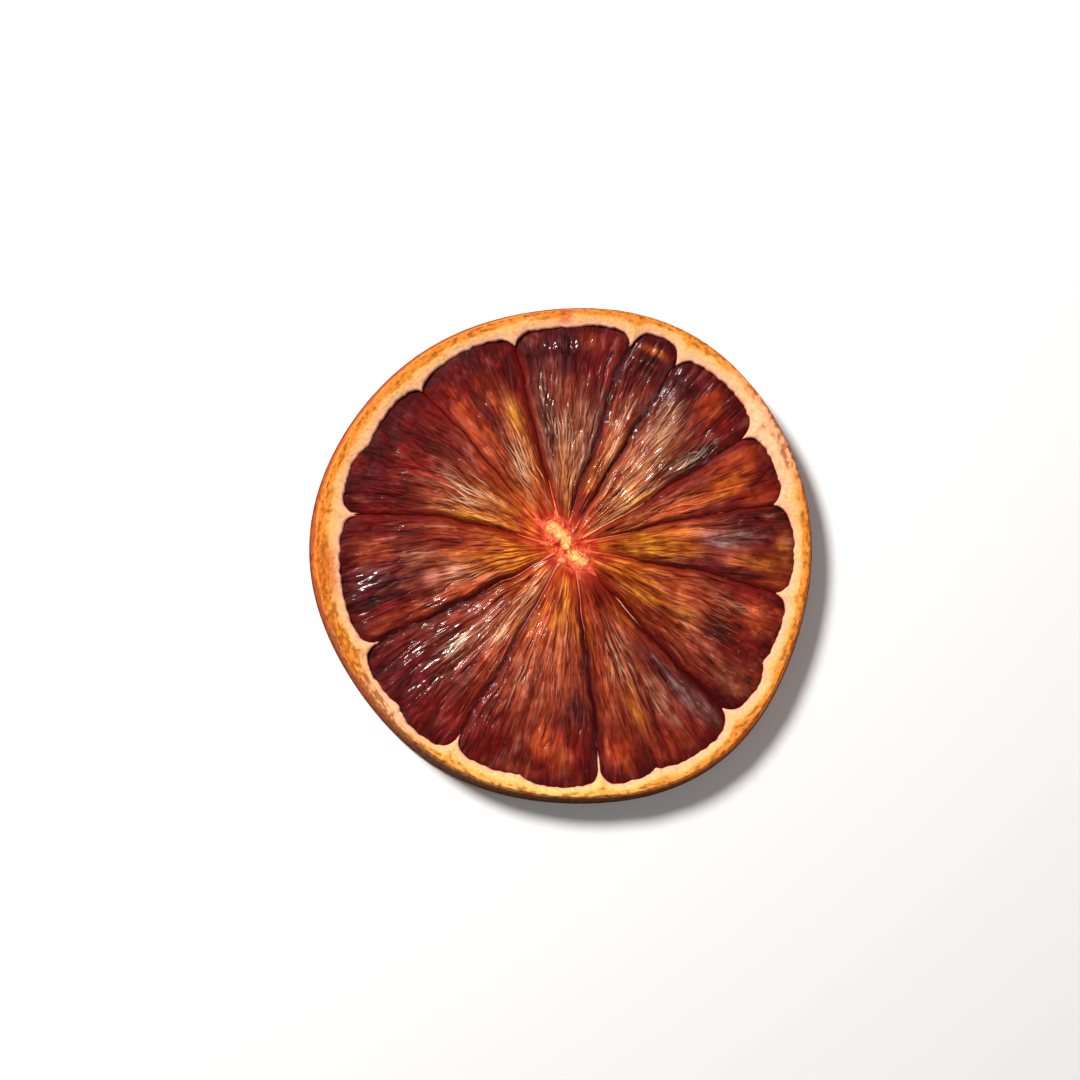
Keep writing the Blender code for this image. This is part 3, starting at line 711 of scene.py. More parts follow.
class Side:
    """The points of one side of a segment and every pattern that its form and colour share."""

    def __init__(self, segment, across_steps, along_steps, face):
        across = np.linspace(0.0, 1.0, across_steps + 1)
        stations = np.linspace(0.0, 1.0, along_steps + 1)
        ends = plan_point(segment, np.array((0.0, 1.0)), stations[:, None], face)
        widths = np.linalg.norm(ends[:, 1] - ends[:, 0], axis=1)
        self.segment, self.face = segment, face
        self.seed = 9.0 * segment + 50.0 * face + 0.5
        self.along, width = np.repeat(stations, len(across)), np.repeat(widths, len(across))
        inset = MEMBRANE_GAP / width
        self.across = between(inset, 1.0 - inset, np.tile(across, len(stations)))
        self.plan = plan_point(segment, self.across, self.along, face)
        self.out = self.along * (FACE_RADIUS - CORE_HALF_LENGTH)
        self.flank_low, self.flank_high = width * self.across, width * (1.0 - self.across)
        self.from_membrane = np.minimum(self.flank_low, self.flank_high)
        run = self.across * widths[int(RUN_STATION * len(stations))]
        self.run = run + BEND * waves("bend", run, self.out, self.seed)
        self.draw_patterns()

    def draw_patterns(self):
        self.swell = waves("swell", *self.plan.T, self.seed)
        self.blots = waves("blots", *self.plan.T, self.seed)
        self.fray = self.streaky("fray")
        self.wrinkles = self.streaky("wrinkles")
        self.cracks = bell(self.streaky("cracks"), CRACK_WIDTH)
        shown = smooth(self.streaky("shown"), -0.6, 0.4)
        threads = self.strokes("threads")
        self.furrows = np.clip(self.strokes("threads", FURROW_WIDENING) - threads, 0.0, 1.0)
        self.threads = threads * between(0.25, 1.0, shown)
        self.ridges = self.strokes("ridges") * between(0.35, 1.0, shown)
        self.grooves = self.strokes("grooves")
        self.flecks = self.strokes("flecks")
        self.sac, self.sac_shade = sacs(self.segment, self.face, self.plan)
        bubbly = smooth(self.along + 0.08 * self.blots + 0.05 * self.swell, 0.8, 0.92)
        self.bubbly = bubbly * BUBBLES[self.segment]
        self.light_threads = self.patches(LIGHT_THREADS, 0.7)
        self.wet = self.patches(WET_PATCHES, 0.7)

    def streaky(self, kind):
        return waves(kind, self.run, self.out, self.seed)

    def strokes(self, kind, widening=1.0):
        return strokes(self.segment, self.face, self.plan, kind, widening)

    def patches(self, table, fraying):
        return patch_sum(table, self.segment, self.plan, fraying * self.fray)

    def mixed(self, shares):
        """The named patterns together, each times its share."""
        return sum(share * getattr(self, name) for name, share in shares.items())

    def points(self):
        """Every point, with swellings, folds, threads and sacs that all fade at the membranes."""
        opening = smooth(self.along, 0.0, 0.16)
        inner = opening * smooth(self.from_membrane, 0.12, 0.8)
        thready = inner * (1.0 - SAC_SMOOTHING * self.bubbly)
        dry = 1.0 - WET_SMOOTHING * np.clip(self.wet, 0.0, 1.0)
        depth = flesh_ground(self.across, self.along)
        crease = np.maximum(CREASE_WIDTH * (1.0 + CREASE_UNEVENNESS * self.blots), LEAST_CREASE_WIDTH)
        for distance, index in ((self.flank_low, self.segment), (self.flank_high, self.segment + 1)):
            depth -= FLANKS[index % len(FLANKS)][3] * bell(distance, crease) * opening
        depth += inner * (self.mixed(SOFT_RELIEF) + self.patches(FOLDS, 0.5))
        depth += inner * FLECK_RELIEF * dry * self.flecks
        ripples = RIPPLE_RELIEF * self.wet * self.streaky("ripples")
        depth += thready * (self.mixed(THREAD_RELIEF) + dry * self.mixed(FINE_RELIEF) + ripples)
        depth += inner * self.bubbly * self.sac * (SAC_RELIEF + SAC_UNEVENNESS * self.sac_shade)
        depth -= END_DROP * smooth(self.along, 0.98, 1.0)
        return np.column_stack((self.plan, middle_height(self.plan) + self.face * depth))

    def colours(self):
        """The painted look: ramp, patches, streaks, pale threads, dark flanks, painted light, shade and
        glints.
        """
        place = np.clip(self.along + 0.05 * self.fray + 0.05 * self.blots, 0.0, 1.0)
        stops = [stop for stop, _ in FLESH_RAMP]
        ramp = np.array([srgb(name) for _, name in FLESH_RAMP])
        colour = np.column_stack([np.interp(place, stops, channel) for channel in ramp.T])
        for *patch, name, strength in PATCHES:
            if in_segment(self.segment, patch[0]):
                colour = tint(colour, srgb(name), strength * patch_share(self.plan, *patch, self.fray))
        for kind, low, high, name, at_core, at_rind in STREAKS:
            share = between(at_core, at_rind, self.along) * smooth(self.streaky(kind), low, high)
            colour = tint(colour, srgb(name), share)
        opening = smooth(self.along, 0.02, 0.15)
        thready = smooth(self.from_membrane, 0.1, 0.6) * (1.0 - 0.6 * self.bubbly) * opening
        # Painted shade in the sunken grooves, furrows and cracks and painted light on the raised ridges,
        # over random blotches
        shade = PAINTED_GROOVE_SHADE * self.grooves + PAINTED_FURROW_SHADE * self.furrows * self.light_threads
        light = np.exp(self.mixed(LIGHT_BLOTCHES)) * (1.0 + PAINTED_RIDGE_LIGHT * thready * self.ridges)
        light = light * (0.95 - thready * shade) * (1.0 - PAINTED_CRACK_SHADE * thready * self.cracks)
        colour = FLESH_BRIGHTNESS * colour * light[:, None] ** SHADE_POWERS
        pale = tint(THREAD_LIGHT * colour + 0.01, srgb("straw"), between(0.1, 0.9, self.light_threads))
        colour = tint(colour, pale, thready * self.threads * between(0.25, 1.0, self.light_threads))
        # Painted glints: flecks tinted towards straw where the flesh is wet or its threads are pale
        painted_glints = opening * self.flecks * np.clip(self.wet + self.light_threads, 0.0, 1.0)
        colour = tint(colour, srgb("straw"), PAINTED_GLINT * painted_glints)
        # Painted shade in the dips between the round sacs, and a random tone for each sac
        edges = (1.0 - smooth(self.sac, 0.0, 0.8)) * self.bubbly
        sac_tone_and_painted_shade = (1.0 - PAINTED_SAC_BORDER_SHADE * edges) * np.exp(SAC_SHADE_SPREAD * self.sac_shade * self.bubbly)
        colour = self.paint_flanks(colour * sac_tone_and_painted_shade[:, None])
        level = np.clip(colour[:, 0] / between(*USUAL_RED, self.along), *LEVEL_RANGE)
        near_core = 1.0 - smooth(self.along, 0.22, 0.5)
        colour = colour * level[:, None] ** LEVEL_POWERS * (1.0 - near_core[:, None] * CORE_SHADE)
        return painted(
            colour,
            ("black red", 0.4 * smooth(self.along + 0.01 * self.blots, 0.985, 1.0)),
            ("red", 0.6 * bell(self.along + 0.02 * self.fray, 0.045)),
            ("salmon", 0.6 * bell(self.along + 0.01 * self.fray, 0.014)),
        )

    def paint_flanks(self, colour):
        """Smooth dark flanks beside the two membranes, red near the core."""
        sides = ((self.flank_low, self.segment, 1), (self.flank_high, self.segment + 1, 2))
        for distance, index, column in sides:
            look = FLANKS[index % len(FLANKS)]
            name, half_width, strength = look[0], look[column], look[4]
            wide = np.abs(0.55 * half_width * (1.0 + 0.7 * self.blots + 0.4 * self.fray))
            wide = wide * (0.5 + smooth(self.along, 0.0, 0.3))
            share = 1.0 - smooth(distance, 0.3 * wide, 1.1 * wide + 0.05)
            near = tint(srgb(name), srgb("red"), 0.6 - 0.6 * smooth(self.along, 0.05, 0.3))
            line = bell(distance, 0.14 * (1.0 + 0.4 * self.blots)) * smooth(self.along, 0.05, 0.25)
            colour = tint(tint(colour, near, strength * share), srgb("wine"), 0.8 * strength * line)
        return colour

    def gloss(self):
        """How wet each point looks, from 0 to 1."""
        wet = DRY_GLOSS + self.mixed(GLOSS_SHARES)
        return np.clip(wet - smooth(self.along, 0.95, 0.99), 0.0, 1.0)

    def fan(self):
        """Each point's place across and along the threads, for the material's grain."""
        return np.column_stack((self.run, self.out, np.full(len(self.out), self.seed)))


def make_segment(segment, material):
    """One closed juice segment: a fine upper side, a lower side with half the counts, and the edge."""
    ends = plan_point(segment, np.array((0.0, 1.0)), 1.0, 1)
    across = 2 * round(float(np.linalg.norm(ends[1] - ends[0])) / SURFACE_STEP / 2.0)
    sides = (Side(segment, across, ALONG_STEPS, 1), Side(segment, across // 2, ALONG_STEPS // 2, -1))
    upper = grid(ALONG_STEPS + 1, across + 1)
    lower = grid(ALONG_STEPS // 2 + 1, across // 2 + 1, upper.size)
    faces = quads(upper) + quads(lower, True) + stitch(border(upper), border(lower))
    attributes = {
        "look": np.vstack([side.colours() for side in sides]),
        "gloss": np.concatenate([side.gloss() for side in sides]),
        "fan": np.vstack([side.fan() for side in sides]),
    }
    points = np.vstack([side.points() for side in sides])
    make_piece(f"segment_{segment + 1:02d}", points, faces, material, attributes)


# Rind

RIND_DIRECTIONS = 960
EDGE_ROUND = 0.3
FACE_DISH = 0.63
INNER_ROUND = 0.14
FOOT_STEP = 0.25
PIT_DEPTH = 0.09
SKIN_PIT_DEPTH = 0.1
EDGE_RAG = 0.16
SPIKE_WIDTH = 0.42
SPIKE_FALL = 0.45
RIM_MM_PER_DEGREE = 0.46
GRAIN_SIZE = 0.45
BLOT_SIZE = 3.2
MOTTLE_SEED = 9.0
SKIN_MOTTLE_SIZE = 0.8
CUT_MOTTLE_SIZE = 1.0
RUSTY_DIRECTION_DEG = 212.0
RUSTY_HALF_WIDTH_DEG = 30.0
# Direction in which painted shade darkens the skin
SHADED_SKIN_DIRECTION_DEG = 266.0

# The rind's profile, from the flesh over the top and back under it: stretches and their rings of points
RIND_STRETCHES = (
    ("upper wall", 6), ("upper face", 20), ("skin", 24), ("lower face", 10), ("lower wall", 4),
)

# How far each cusp reaches in along its membrane
SPIKES = (0.8, 1.0, 1.3, 0.9, 0.8, 0.7, 1.2, 1.1, 1.2, 1.3, 0.9, 0.8)

# Stains of the cut face: direction, half width, colour and strength
RIND_STAINS = (
    (90.0, 2.5, "blush", 0.7),
    (185.0, 6.0, "amber", 0.7),
    (30.0, 14.0, "pale pink", 0.5),
    (222.0, 9.0, "pale pink", 0.5),
    (262.0, 26.0, "sun", 0.55),
)


class RindEdges:
    """The edges that the rind's profile runs through, in every direction."""

    def __init__(self):
        self.directions = np.linspace(0.0, 360.0, RIND_DIRECTIONS, endpoint=False)
        self.top = THICKNESS + warp(self.directions, BASE_RADIUS)
        self.low = rim_low(self.directions)
        x, y = at(28.0, self.directions).T
        rag = EDGE_RAG * (rough(x / 1.1, y / 1.1, 4.0, 3) - 0.8)
        self.spike = np.zeros(RIND_DIRECTIONS)
        for (rim, _, _), length in zip(MEMBRANES, SPIKES):
            off = np.abs(turn_between(self.directions, rim)) * RIM_MM_PER_DEGREE
            self.spike += length * np.exp(-off / SPIKE_WIDTH)
        self.upper = flesh_edge(self.directions, 1) + rag - self.spike
        self.lower = flesh_edge(self.directions, -1) + rag - self.spike
        self.face = FACE_RADIUS * outline(self.directions)
        self.base = BASE_RADIUS * outline(self.directions)

    def place(self, stretch, share):
        """Radius and height of a ring of the profile, with its corners turned over in quarter circles."""
        if stretch == "upper wall":
            foot = np.full_like(self.top, MIDDLE_HEIGHT)
            crown = self.top - FACE_DISH - INNER_ROUND - SPIKE_FALL * self.spike
            return self.upper - FOOT_STEP * (1.0 - share), between(foot, crown, share)
        if stretch == "upper face":
            drop = INNER_ROUND * turned_over(share, 0.08) + EDGE_ROUND * turned_over(1.0 - share, 0.16)
            fall = FACE_DISH * (1.0 - share) ** 1.5 + SPIKE_FALL * self.spike * (1.0 - share) ** 2
            return between(self.upper, self.face, share), self.top - fall - drop
        if stretch == "skin":
            height = between(self.top - EDGE_ROUND, self.low + EDGE_ROUND, share)
            return between(self.face, self.base, share), height
        if stretch == "lower face":
            rise = EDGE_ROUND * (turned_over(share, 0.12) + turned_over(1.0 - share, 0.12))
            return between(self.base, self.lower, share), self.low + rise
        foot = np.full_like(self.low, MIDDLE_HEIGHT)
        return self.lower - FOOT_STEP * share, between(self.low + EDGE_ROUND, foot, share)


def turned_over(share, part):
    """How far down a rounded corner is: 1 at its edge and 0 from this part of the stretch on."""
    return 1.0 - math.sqrt(1.0 - max(0.0, 1.0 - share / part) ** 2)


def turn_between(degrees, other):
    """The turn from one direction to another, from -180 to 180."""
    return (degrees - other + 180.0) % 360.0 - 180.0


def mottles(edges, depth, size):
    """Noise round the rim whose spots are longer along the rim than across it."""
    x, y = at((BASE_RADIUS + 2.2 * depth) / size, edges.directions).T
    return rough(x, y, MOTTLE_SEED, 3)


def rind_ring(edges, stretch, share):
    """Points, colours and gloss of one ring of the rind."""
    radius, height = edges.place(stretch, share)
    x, y = at(radius, edges.directions).T
    grain = rough(x / GRAIN_SIZE, y / GRAIN_SIZE, height / GRAIN_SIZE, 3)
    blots = rough(x / BLOT_SIZE, y / BLOT_SIZE, height / BLOT_SIZE + 3.0, 3)
    if stretch == "skin":
        spots = mottles(edges, 0.2 - 3.0 * share, SKIN_MOTTLE_SIZE)
        pits = smooth(spots + 0.4 * grain, 0.0, 0.5)
        radius = radius + (0.03 * grain - SKIN_PIT_DEPTH * pits) * smooth(share, 0.0, 0.1) - 0.03
        look = skin_look(edges.directions, share, grain, pits, blots)
    elif stretch in ("upper face", "lower face"):
        side, out = (1.0, share) if stretch == "upper face" else (-1.0, 1.0 - share)
        spots = mottles(edges, radius - BASE_RADIUS, CUT_MOTTLE_SIZE)
        rusty = 0.3 * bell(turn_between(edges.directions, RUSTY_DIRECTION_DEG), RUSTY_HALF_WIDTH_DEG)
        pits = smooth(spots + 0.4 * grain + 0.3 * blots + rusty, 0.0, 0.5)
        pits = pits * smooth(out + 0.12 * blots + 0.4 * rusty, 0.42, 0.66)
        height = height - side * (0.05 * np.abs(grain) + PIT_DEPTH * pits)
        look = cut_face_look(edges.directions, out, grain, pits, blots)
    else:
        up = share if stretch == "upper wall" else 1.0 - share
        look = tint(srgb("burgundy"), srgb("rust"), smooth(up + 0.15 * grain, 0.6, 1.0))
    plan = at(radius, edges.directions)
    return np.column_stack((plan, height)), look, 0.3 + 0.15 * blots


def skin_look(directions, share, grain, pits, blots):
    """Colours of the skin: honey at the cut, orange brown below, brown glands and painted shade on the
    lower side.
    """
    # Painted shade: the skin turns dark olive on its side towards 266 degrees
    dark = smooth(np.cos(np.radians(turn_between(directions, SHADED_SKIN_DIRECTION_DEG))), 0.6, 0.97)
    look = painted(
        srgb("honey"),
        ("zest", smooth(share + 0.3 * blots, 0.0, 0.6)),
        ("deep zest", 0.75 * pits),
        ("deep zest", 0.8 * smooth(share + 0.15 * grain, 0.65, 0.95)),
        ("dark olive", 0.85 * dark * smooth(share, 0.05, 0.3)),
    )
    return look * (1.0 + 0.2 * grain)[:, None]


def cut_face_look(directions, out, grain, pits, blots):
    """Colours of the cut: pale pink beside the flesh, honey further out, with brown glands at the edge."""
    look = painted(
        srgb("pink"),
        ("peach", smooth(out + 0.12 * blots, 0.12, 0.4)),
        ("honey", smooth(out + 0.18 * blots, 0.4, 0.72)),
    )
    for direction, half_width, name, strength in RIND_STAINS:
        share = bell(turn_between(directions, direction) + 3.0 * blots, half_width, 2.5)
        look = painted(look, (name, strength * share * smooth(out + 0.2 * grain, 0.1, 0.3)))
    look = painted(
        look,
        ("gland", 0.8 * pits),
        ("cream", 0.5 * smooth(grain, 0.35, 0.8) * smooth(out, 0.5, 0.8)),
        ("zest", 0.9 * smooth(out + 0.12 * grain, 0.84, 0.97)),
        ("deep zest", 0.8 * smooth(out + 0.08 * grain, 0.93, 1.0)),
    )
    return look * (1.0 + 0.16 * grain)[:, None]


def make_rind(material):
    """The closed ring of rind: two cut faces, the pebbled skin and the walls towards the flesh."""
    edges = RindEdges()
    stations = [(name, step / count) for name, count in RIND_STRETCHES for step in range(count)]
    rings = [rind_ring(edges, name, share) for name, share in stations]
    points, look, gloss = (np.concatenate(parts) for parts in zip(*rings))
    numbers = closed(closed(grid(len(rings), RIND_DIRECTIONS), 0), 1)
    make_piece("rind", points, quads(numbers.T), material, {"look": look, "gloss": gloss})


# Membranes

# Each membrane's line: its colour, the shares of its length between which it shows, and where its cusp
# starts
LINES = (
    ("rose", 0.0, 0.3, 0.95),
    ("peach", 0.02, 0.4, 0.96),
    ("mauve", 0.0, 0.3, 0.95),
    ("mauve", 0.0, 0.3, 0.95),
    ("salmon", 0.0, 0.25, 0.97),
    ("salmon", 0.0, 0.25, 0.97),
    ("salmon", 0.0, 0.2, 0.93),
    ("rose", 0.0, 0.4, 0.93),
    ("rose", 0.0, 0.45, 0.92),
    ("rose", 0.0, 0.35, 0.86),
    ("pink", 0.22, 0.42, 0.96),
    ("blush", 0.0, 0.3, 0.96),
)
LINE_STATIONS = 190

# Points of the line's profile: place across it, as a share of its half width, and height above its crest
LINE_PROFILE = ((-1.0, -0.45), (-0.8, -0.08), (0.0, 0.0), (0.8, -0.08), (1.0, -0.45))


def membrane_rings(index, face):
    """The rings of points along one side of a membrane, and their colours."""
    along = np.linspace(0.0, 1.0, LINE_STATIONS)
    line = plan_point(index, np.zeros_like(along), along, face)
    run = np.gradient(line, axis=0)
    left = left_of(run) / np.linalg.norm(run, axis=1, keepdims=True)
    waver = waves("waver", *line.T, face)
    colour, start, reach, cusp = LINES[index]
    crest = flesh_ground(np.zeros_like(along), along) - FLANKS[index][3] * smooth(along, 0.0, 0.16)
    crest += 0.08 + 0.07 * waver + 0.4 * smooth(along, cusp - 0.05, 1.0) + 0.12 * bell(along, 0.12)
    half_width = 0.07 + 0.03 * waver + 0.12 * smooth(along, cusp - 0.01, 1.01) + 0.12 * bell(along, 0.07)
    shown = smooth(along, start - 0.03, start) * (1.0 - smooth(along + 0.08 * waver, 0.7 * reach, reach))
    look = painted(
        srgb("wine"),
        ("blush", 0.5 * smooth(waver, 0.3, 0.9)),
        (colour, shown),
        ("salmon", 0.8 * bell(along, 0.06)),
        ("pink", smooth(along + 0.02 * waver, cusp, cusp + 0.05)),
    )
    rings = []
    for side, drop in LINE_PROFILE[::face]:
        plan = line + left * (side * half_width)[:, None]
        rings.append((np.column_stack((plan, middle_height(line) + face * (crest + drop))), look))
    return rings


def make_membranes(material):
    """Twelve thin walls between the segments, each with a fine crest on both sides of the slice."""
    points, faces, colours = [], [], []
    for index in range(len(MEMBRANES)):
        rings = membrane_rings(index, 1) + membrane_rings(index, -1)
        numbers = grid(len(rings), LINE_STATIONS, LINE_STATIONS * len(points))
        faces += quads(closed(numbers, 0)) + [numbers[:, 0].tolist(), numbers[::-1, -1].tolist()]
        points += [ring for ring, _ in rings]
        colours += [look for _, look in rings]
    look = np.vstack(colours)
    attributes = {"look": look, "gloss": np.full(len(look), 0.5)}
    make_piece("membranes", np.vstack(points), faces, material, attributes)


# Core

CORE_TURNS = 240
CORE_RINGS = 40
CORE_REACH = 1.06
ARM_REACH = 0.45
ARM_WIDTH_DEG = 5.0
CORE_STRIP_HALF_WIDTH = 0.72

# Spots of the core: place in the plan, size, colour and strength
CORE_SPOTS = (
    (-3.1, 0.6, 0.55, "gold", 0.9), (-2.4, 0.2, 0.4, "amber", 0.8),
    (-1.5, 0.9, 0.55, "red", 0.9), (1.2, 1.1, 0.7, "red", 0.7),
    (-1.4, -1.5, 0.55, "cream", 0.8), (-0.9, -1.0, 0.35, "peach", 0.7),
    (1.9, -2.9, 0.4, "wine", 0.9), (0.1, 0.3, 0.22, "rust", 0.9),
    (0.5, 0.4, 0.3, "red", 0.6), (-0.4, 3.2, 0.6, "red", 0.7),
    (2.6, -0.6, 0.7, "red", 0.6), (0.6, 2.4, 0.5, "wine", 0.5),
)


def core_side(face):
    """Points and colours of one side of the core: a star whose arms run into the membranes."""
    directions = np.linspace(0.0, 360.0, CORE_TURNS, endpoint=False)
    arms = np.zeros_like(directions)
    for _, core, _ in MEMBRANES:
        arms = np.maximum(arms, bell(turn_between(directions, core), ARM_WIDTH_DEG, 1.4))
    edge = (core_edge(directions) - CORE_CENTRE) * (CORE_REACH + ARM_REACH * arms)[:, None]
    share = np.append(0.0, np.repeat(np.arange(1, CORE_RINGS + 1) / CORE_RINGS, CORE_TURNS))
    arm = np.append(0.0, np.tile(arms, CORE_RINGS))
    offset = np.vstack((np.zeros(2), np.tile(edge, (CORE_RINGS, 1)))) * share[:, None]
    plan = CORE_CENTRE + offset
    way = at(1.0, CORE_TILT_DEG)
    lengthwise, sideways = offset @ way, offset @ left_of(way)
    strands = waves("strands", lengthwise, sideways, face)
    lumps, specks = waves("lumps", *plan.T, face), waves("specks", *plan.T, face)
    bend = 0.22 * np.sin(1.3 * lengthwise) + 0.12 * lumps
    pinch = 1.0 - 0.75 * bell(lengthwise - 0.5, 0.35)
    strip = bell(sideways + bend, CORE_STRIP_HALF_WIDTH * pinch * (1.0 + 0.35 * lumps), 4.0)
    strip = strip * (1.0 - smooth(np.abs(lengthwise) + 0.3 * lumps, 2.9, 3.4))
    depth = FLESH_HALF_THICKNESS + CORE_RISE * (1.0 - share**3) + 0.14 * lumps + 0.07 * strands
    depth += 0.05 * specks + 0.12 * strip - 0.35 * smooth(share, 0.9, 1.0)
    look = painted(
        srgb("salmon"),
        ("red", 0.85 * smooth(lumps + 0.5 * strands, -0.6, 0.5)),
        ("wine", 0.5 * smooth(-lumps - 0.4 * specks, 0.35, 0.9)),
        ("blush", 0.7 * arm * smooth(share, 0.5, 0.8)),
        ("pink", 0.5 * smooth(specks, 0.4, 0.8)),
        ("amber", 0.9 * strip),
        ("peach", strip * smooth(strands + 0.4 * specks, -0.9, 0.2)),
    )
    for x, y, size, name, strength in CORE_SPOTS:
        spot = bell(np.hypot(plan[:, 0] - x, plan[:, 1] - y) / size + 0.3 * lumps, 1.0, 2.5)
        look = painted(look, (name, strength * spot))
    look = look * (1.1 + 0.12 * strands + 0.12 * specks)[:, None]
    return np.column_stack((plan, MIDDLE_HEIGHT + face * depth)), np.clip(look, 0.0, 1.0)


def make_core(material):
    """The pithy core: a fibrous star that shows on both sides, closed below the flesh."""
    (upper, upper_look), (lower, lower_look) = core_side(1), core_side(-1)
    faces = []
    for first, flip in ((0, False), (len(upper), True)):
        rings = closed(grid(CORE_RINGS, CORE_TURNS, first + 1), 1)
        fan = [(first, int(a), int(b)) for a, b in zip(rings[0], rings[0, 1:])]
        faces += [face[::-1] for face in fan] if flip else fan
        faces += quads(rings.T, flip)
    rim = grid(1, CORE_TURNS, 1 + (CORE_RINGS - 1) * CORE_TURNS)
    faces += quads(closed(np.vstack((rim, rim + len(upper))), 1).T)
    look = np.vstack((upper_look, lower_look))
    attributes = {"look": look, "gloss": np.full(len(look), 0.35)}
    make_piece("core", np.vstack((upper, lower)), faces, material, attributes)


# Materials

# Materials: name, what gives the grain its place (the object if nothing does), scale and stretch of the
# grain, strength of its shade, roughness of dull and of glossy places, coat and relief in metres
MATERIALS = (
    ("dried_flesh", "fan", 1.0, (3.5, 0.7, 1.0), 0.25, (0.6, 0.25), 1.0, 0.00007),
    ("dried_rind", None, 2600.0, (1.0, 1.0, 1.0), 0.18, (0.85, 0.55), 0.06, 0.00009),
    ("dried_membrane", None, 3000.0, (1.0, 1.0, 1.0), 0.15, (0.55, 0.25), 0.4, 0.00003),
    ("dried_core", None, 2200.0, (1.0, 1.0, 1.0), 0.16, (0.6, 0.3), 0.4, 0.00007),
)


def ranged(tree, source, low, high, low_out, high_out):
    """The source's stretch from low to high, spread from low_out to high_out."""
    spread = tree.nodes.new("ShaderNodeMapRange")
    for name, value in (("From Min", low), ("From Max", high), ("To Min", low_out), ("To Max", high_out)):
        spread.inputs[name].default_value = value
    tree.links.new(source, spread.inputs["Value"])
    return spread.outputs["Result"]


def summed(tree, operation, first, second):
    """Two values, or a value and a number, put together by a math node."""
    sum_node = tree.nodes.new("ShaderNodeMath")
    sum_node.operation = operation
    for socket, source in zip(sum_node.inputs, (first, second)):
        if isinstance(source, float):
            socket.default_value = source
        else:
            tree.links.new(source, socket)
    return sum_node.outputs["Value"]


def attribute(tree, name, output):
    reader = tree.nodes.new("ShaderNodeAttribute")
    reader.attribute_name = name
    return reader.outputs[output]


def grain_noise(tree, vector, scale, detail, stretch=(1.0, 1.0, 1.0)):
    mapping = tree.nodes.new("ShaderNodeMapping")
    mapping.inputs["Scale"].default_value = stretch
    tree.links.new(vector, mapping.inputs["Vector"])
    texture = tree.nodes.new("ShaderNodeTexNoise")
    texture.inputs["Scale"].default_value = scale
    texture.inputs["Detail"].default_value = detail
    texture.inputs["Roughness"].default_value = 0.6
    tree.links.new(mapping.outputs["Vector"], texture.inputs["Vector"])
    return texture.outputs["Fac"]


def skin_material(name, vector_source, scale, stretch, shade, rough_range, coat, bump_distance):
    """A painted surface whose fine grain varies its shade, its roughness and its relief."""
    material = bpy.data.materials.new(name)
    material.use_nodes = True
    tree = material.node_tree
    shader = tree.nodes["Principled BSDF"]
    shader.inputs["Coat Roughness"].default_value = 0.09
    shader.inputs["Specular IOR Level"].default_value = 0.1
    if vector_source:
        vector = attribute(tree, vector_source, "Vector")
    else:
        vector = tree.nodes.new("ShaderNodeTexCoord").outputs["Object"]
    grain = grain_noise(tree, vector, scale, 4.0, stretch)
    colour = tree.nodes.new("ShaderNodeVectorMath")
    colour.operation = "SCALE"
    tree.links.new(attribute(tree, "look", "Color"), colour.inputs[0])
    tree.links.new(ranged(tree, grain, 0.3, 0.7, 1.0 - shade, 1.0 + shade), colour.inputs["Scale"])
    tree.links.new(colour.outputs["Vector"], shader.inputs["Base Color"])
    gloss = attribute(tree, "gloss", "Fac")
    uneven = summed(tree, "ADD", gloss, ranged(tree, grain, 0.3, 0.7, 0.15, -0.15))
    tree.links.new(ranged(tree, uneven, 0.0, 1.0, *rough_range), shader.inputs["Roughness"])
    tree.links.new(summed(tree, "MULTIPLY", gloss, coat), shader.inputs["Coat Weight"])
    bump = tree.nodes.new("ShaderNodeBump")
    bump.inputs["Strength"].default_value = 0.6
    bump.inputs["Distance"].default_value = bump_distance
    tree.links.new(grain, bump.inputs["Height"])
    tree.links.new(bump.outputs["Normal"], shader.inputs["Normal"])
    return material


# Stage, light and camera

FLOOR_SIZE = 1.2
PHOTO_WIDTH_MM = 128.7
CAMERA_DISTANCE_MM = 250.0
CAMERA_TILT_DEG = 6.0
CAMERA_SIDE_DEG = 225.0
SENSOR_MM = 36.0
AIM_MM = (-3.29, 1.59, 0.9)
WORLD_STRENGTH = 0.14

# Lights: name, place in metres, size, power and colour
LIGHTS = (
    ("key", (-0.2, 0.2, 0.29), 0.1, 2.45, (1.0, 0.98, 0.95)),
    ("fill", (0.4, -0.12, 0.2), 0.3, 0.45, (1.0, 1.0, 1.0)),
)


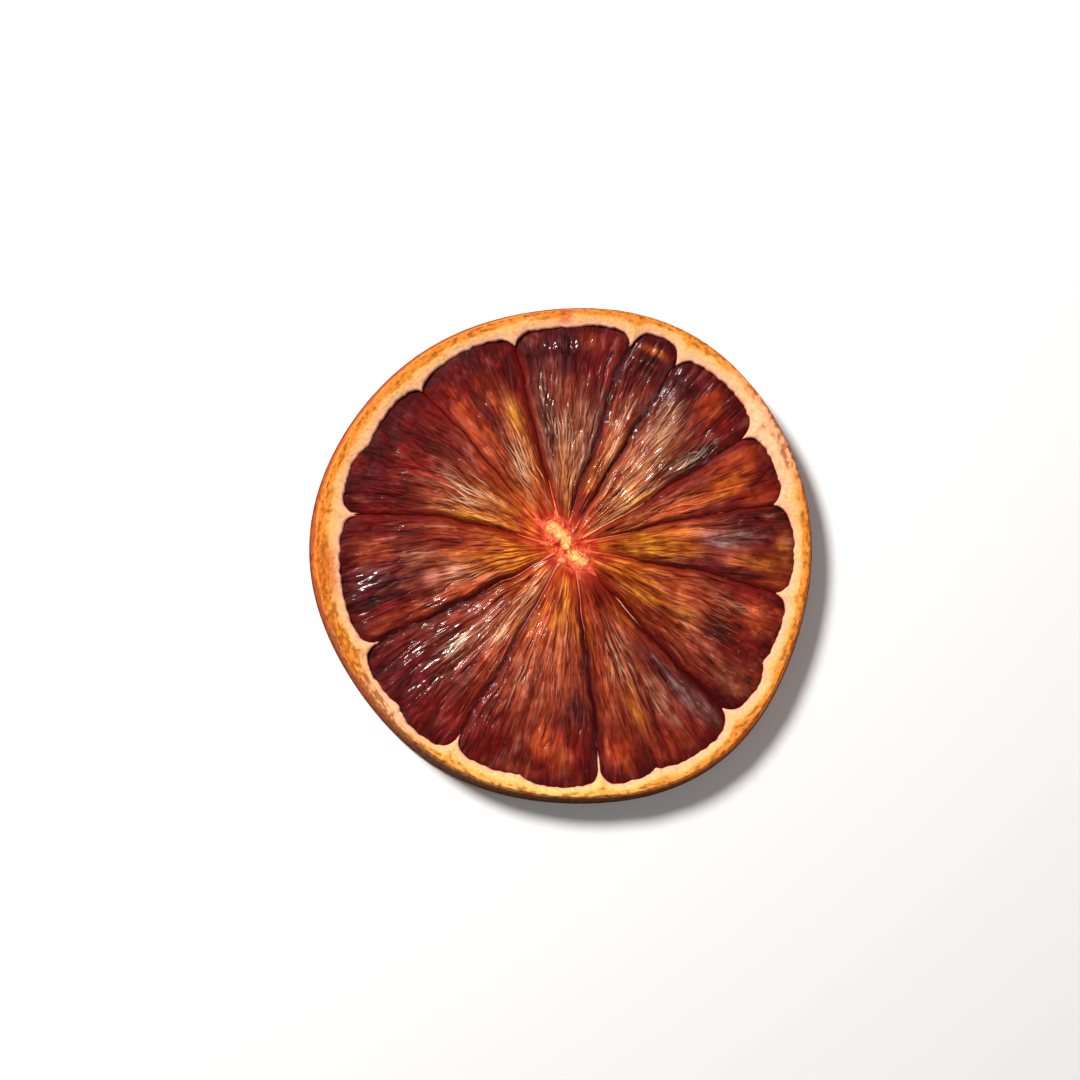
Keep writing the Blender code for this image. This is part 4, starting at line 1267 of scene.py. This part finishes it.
def make_floor():
    mesh = bpy.data.meshes.new("floor")
    half = FLOOR_SIZE / 2.0
    corners = [(-half, -half, 0.0), (half, -half, 0.0), (half, half, 0.0), (-half, half, 0.0)]
    mesh.from_pydata(corners, [], [(0, 1, 2, 3)])
    material = bpy.data.materials.new("floor")
    material.use_nodes = True
    shader = material.node_tree.nodes["Principled BSDF"]
    shader.inputs["Base Color"].default_value = (0.9, 0.9, 0.9, 1.0)
    shader.inputs["Roughness"].default_value = 0.8
    mesh.materials.append(material)
    add_object("floor", mesh)


def look_at(thing, place, target):
    """Stands the thing at a place, looking at the target, with +X as level as it can be."""
    back = (Vector(place) - Vector(target)).normalized()
    right = (Vector((1.0, 0.0, 0.0)) - back * back.x).normalized()
    turn = Matrix((right, back.cross(right), back)).transposed().to_4x4()
    thing.matrix_world = Matrix.Translation(place) @ turn


def make_light(name, place, size, power, colour):
    lamp = bpy.data.lights.new(name, "AREA")
    lamp.shape = "DISK"
    lamp.size = size
    lamp.energy = power
    lamp.color = colour
    look_at(add_object(name, lamp), place, (0.0, 0.0, 0.0))


def make_lights():
    world = bpy.data.worlds.new("studio")
    world.use_nodes = True
    background = world.node_tree.nodes["Background"]
    background.inputs["Color"].default_value = (1.0, 1.0, 1.0, 1.0)
    background.inputs["Strength"].default_value = WORLD_STRENGTH
    bpy.context.scene.world = world
    for row in LIGHTS:
        make_light(*row)


def make_camera():
    lens = bpy.data.cameras.new("camera")
    lens.sensor_width = SENSOR_MM
    lens.lens = SENSOR_MM * CAMERA_DISTANCE_MM / PHOTO_WIDTH_MM
    lens.clip_start = 0.01
    camera = add_object("camera", lens)
    target = Vector(in_frame(np.array([AIM_MM]))[0])
    tilt, side = math.radians(CAMERA_TILT_DEG), math.radians(CAMERA_SIDE_DEG)
    way = Vector((math.sin(tilt) * math.cos(side), math.sin(tilt) * math.sin(side), math.cos(tilt)))
    look_at(camera, target + way * CAMERA_DISTANCE_MM * SCALE, target)
    bpy.context.scene.camera = camera


def main():
    bpy.context.scene.view_settings.view_transform = "Standard"
    flesh, rind, walls, core = (skin_material(*row) for row in MATERIALS)
    for segment in range(len(MEMBRANES)):
        make_segment(segment, flesh)
    make_rind(rind)
    make_membranes(walls)
    make_core(core)
    make_floor()
    make_lights()
    make_camera()


main()
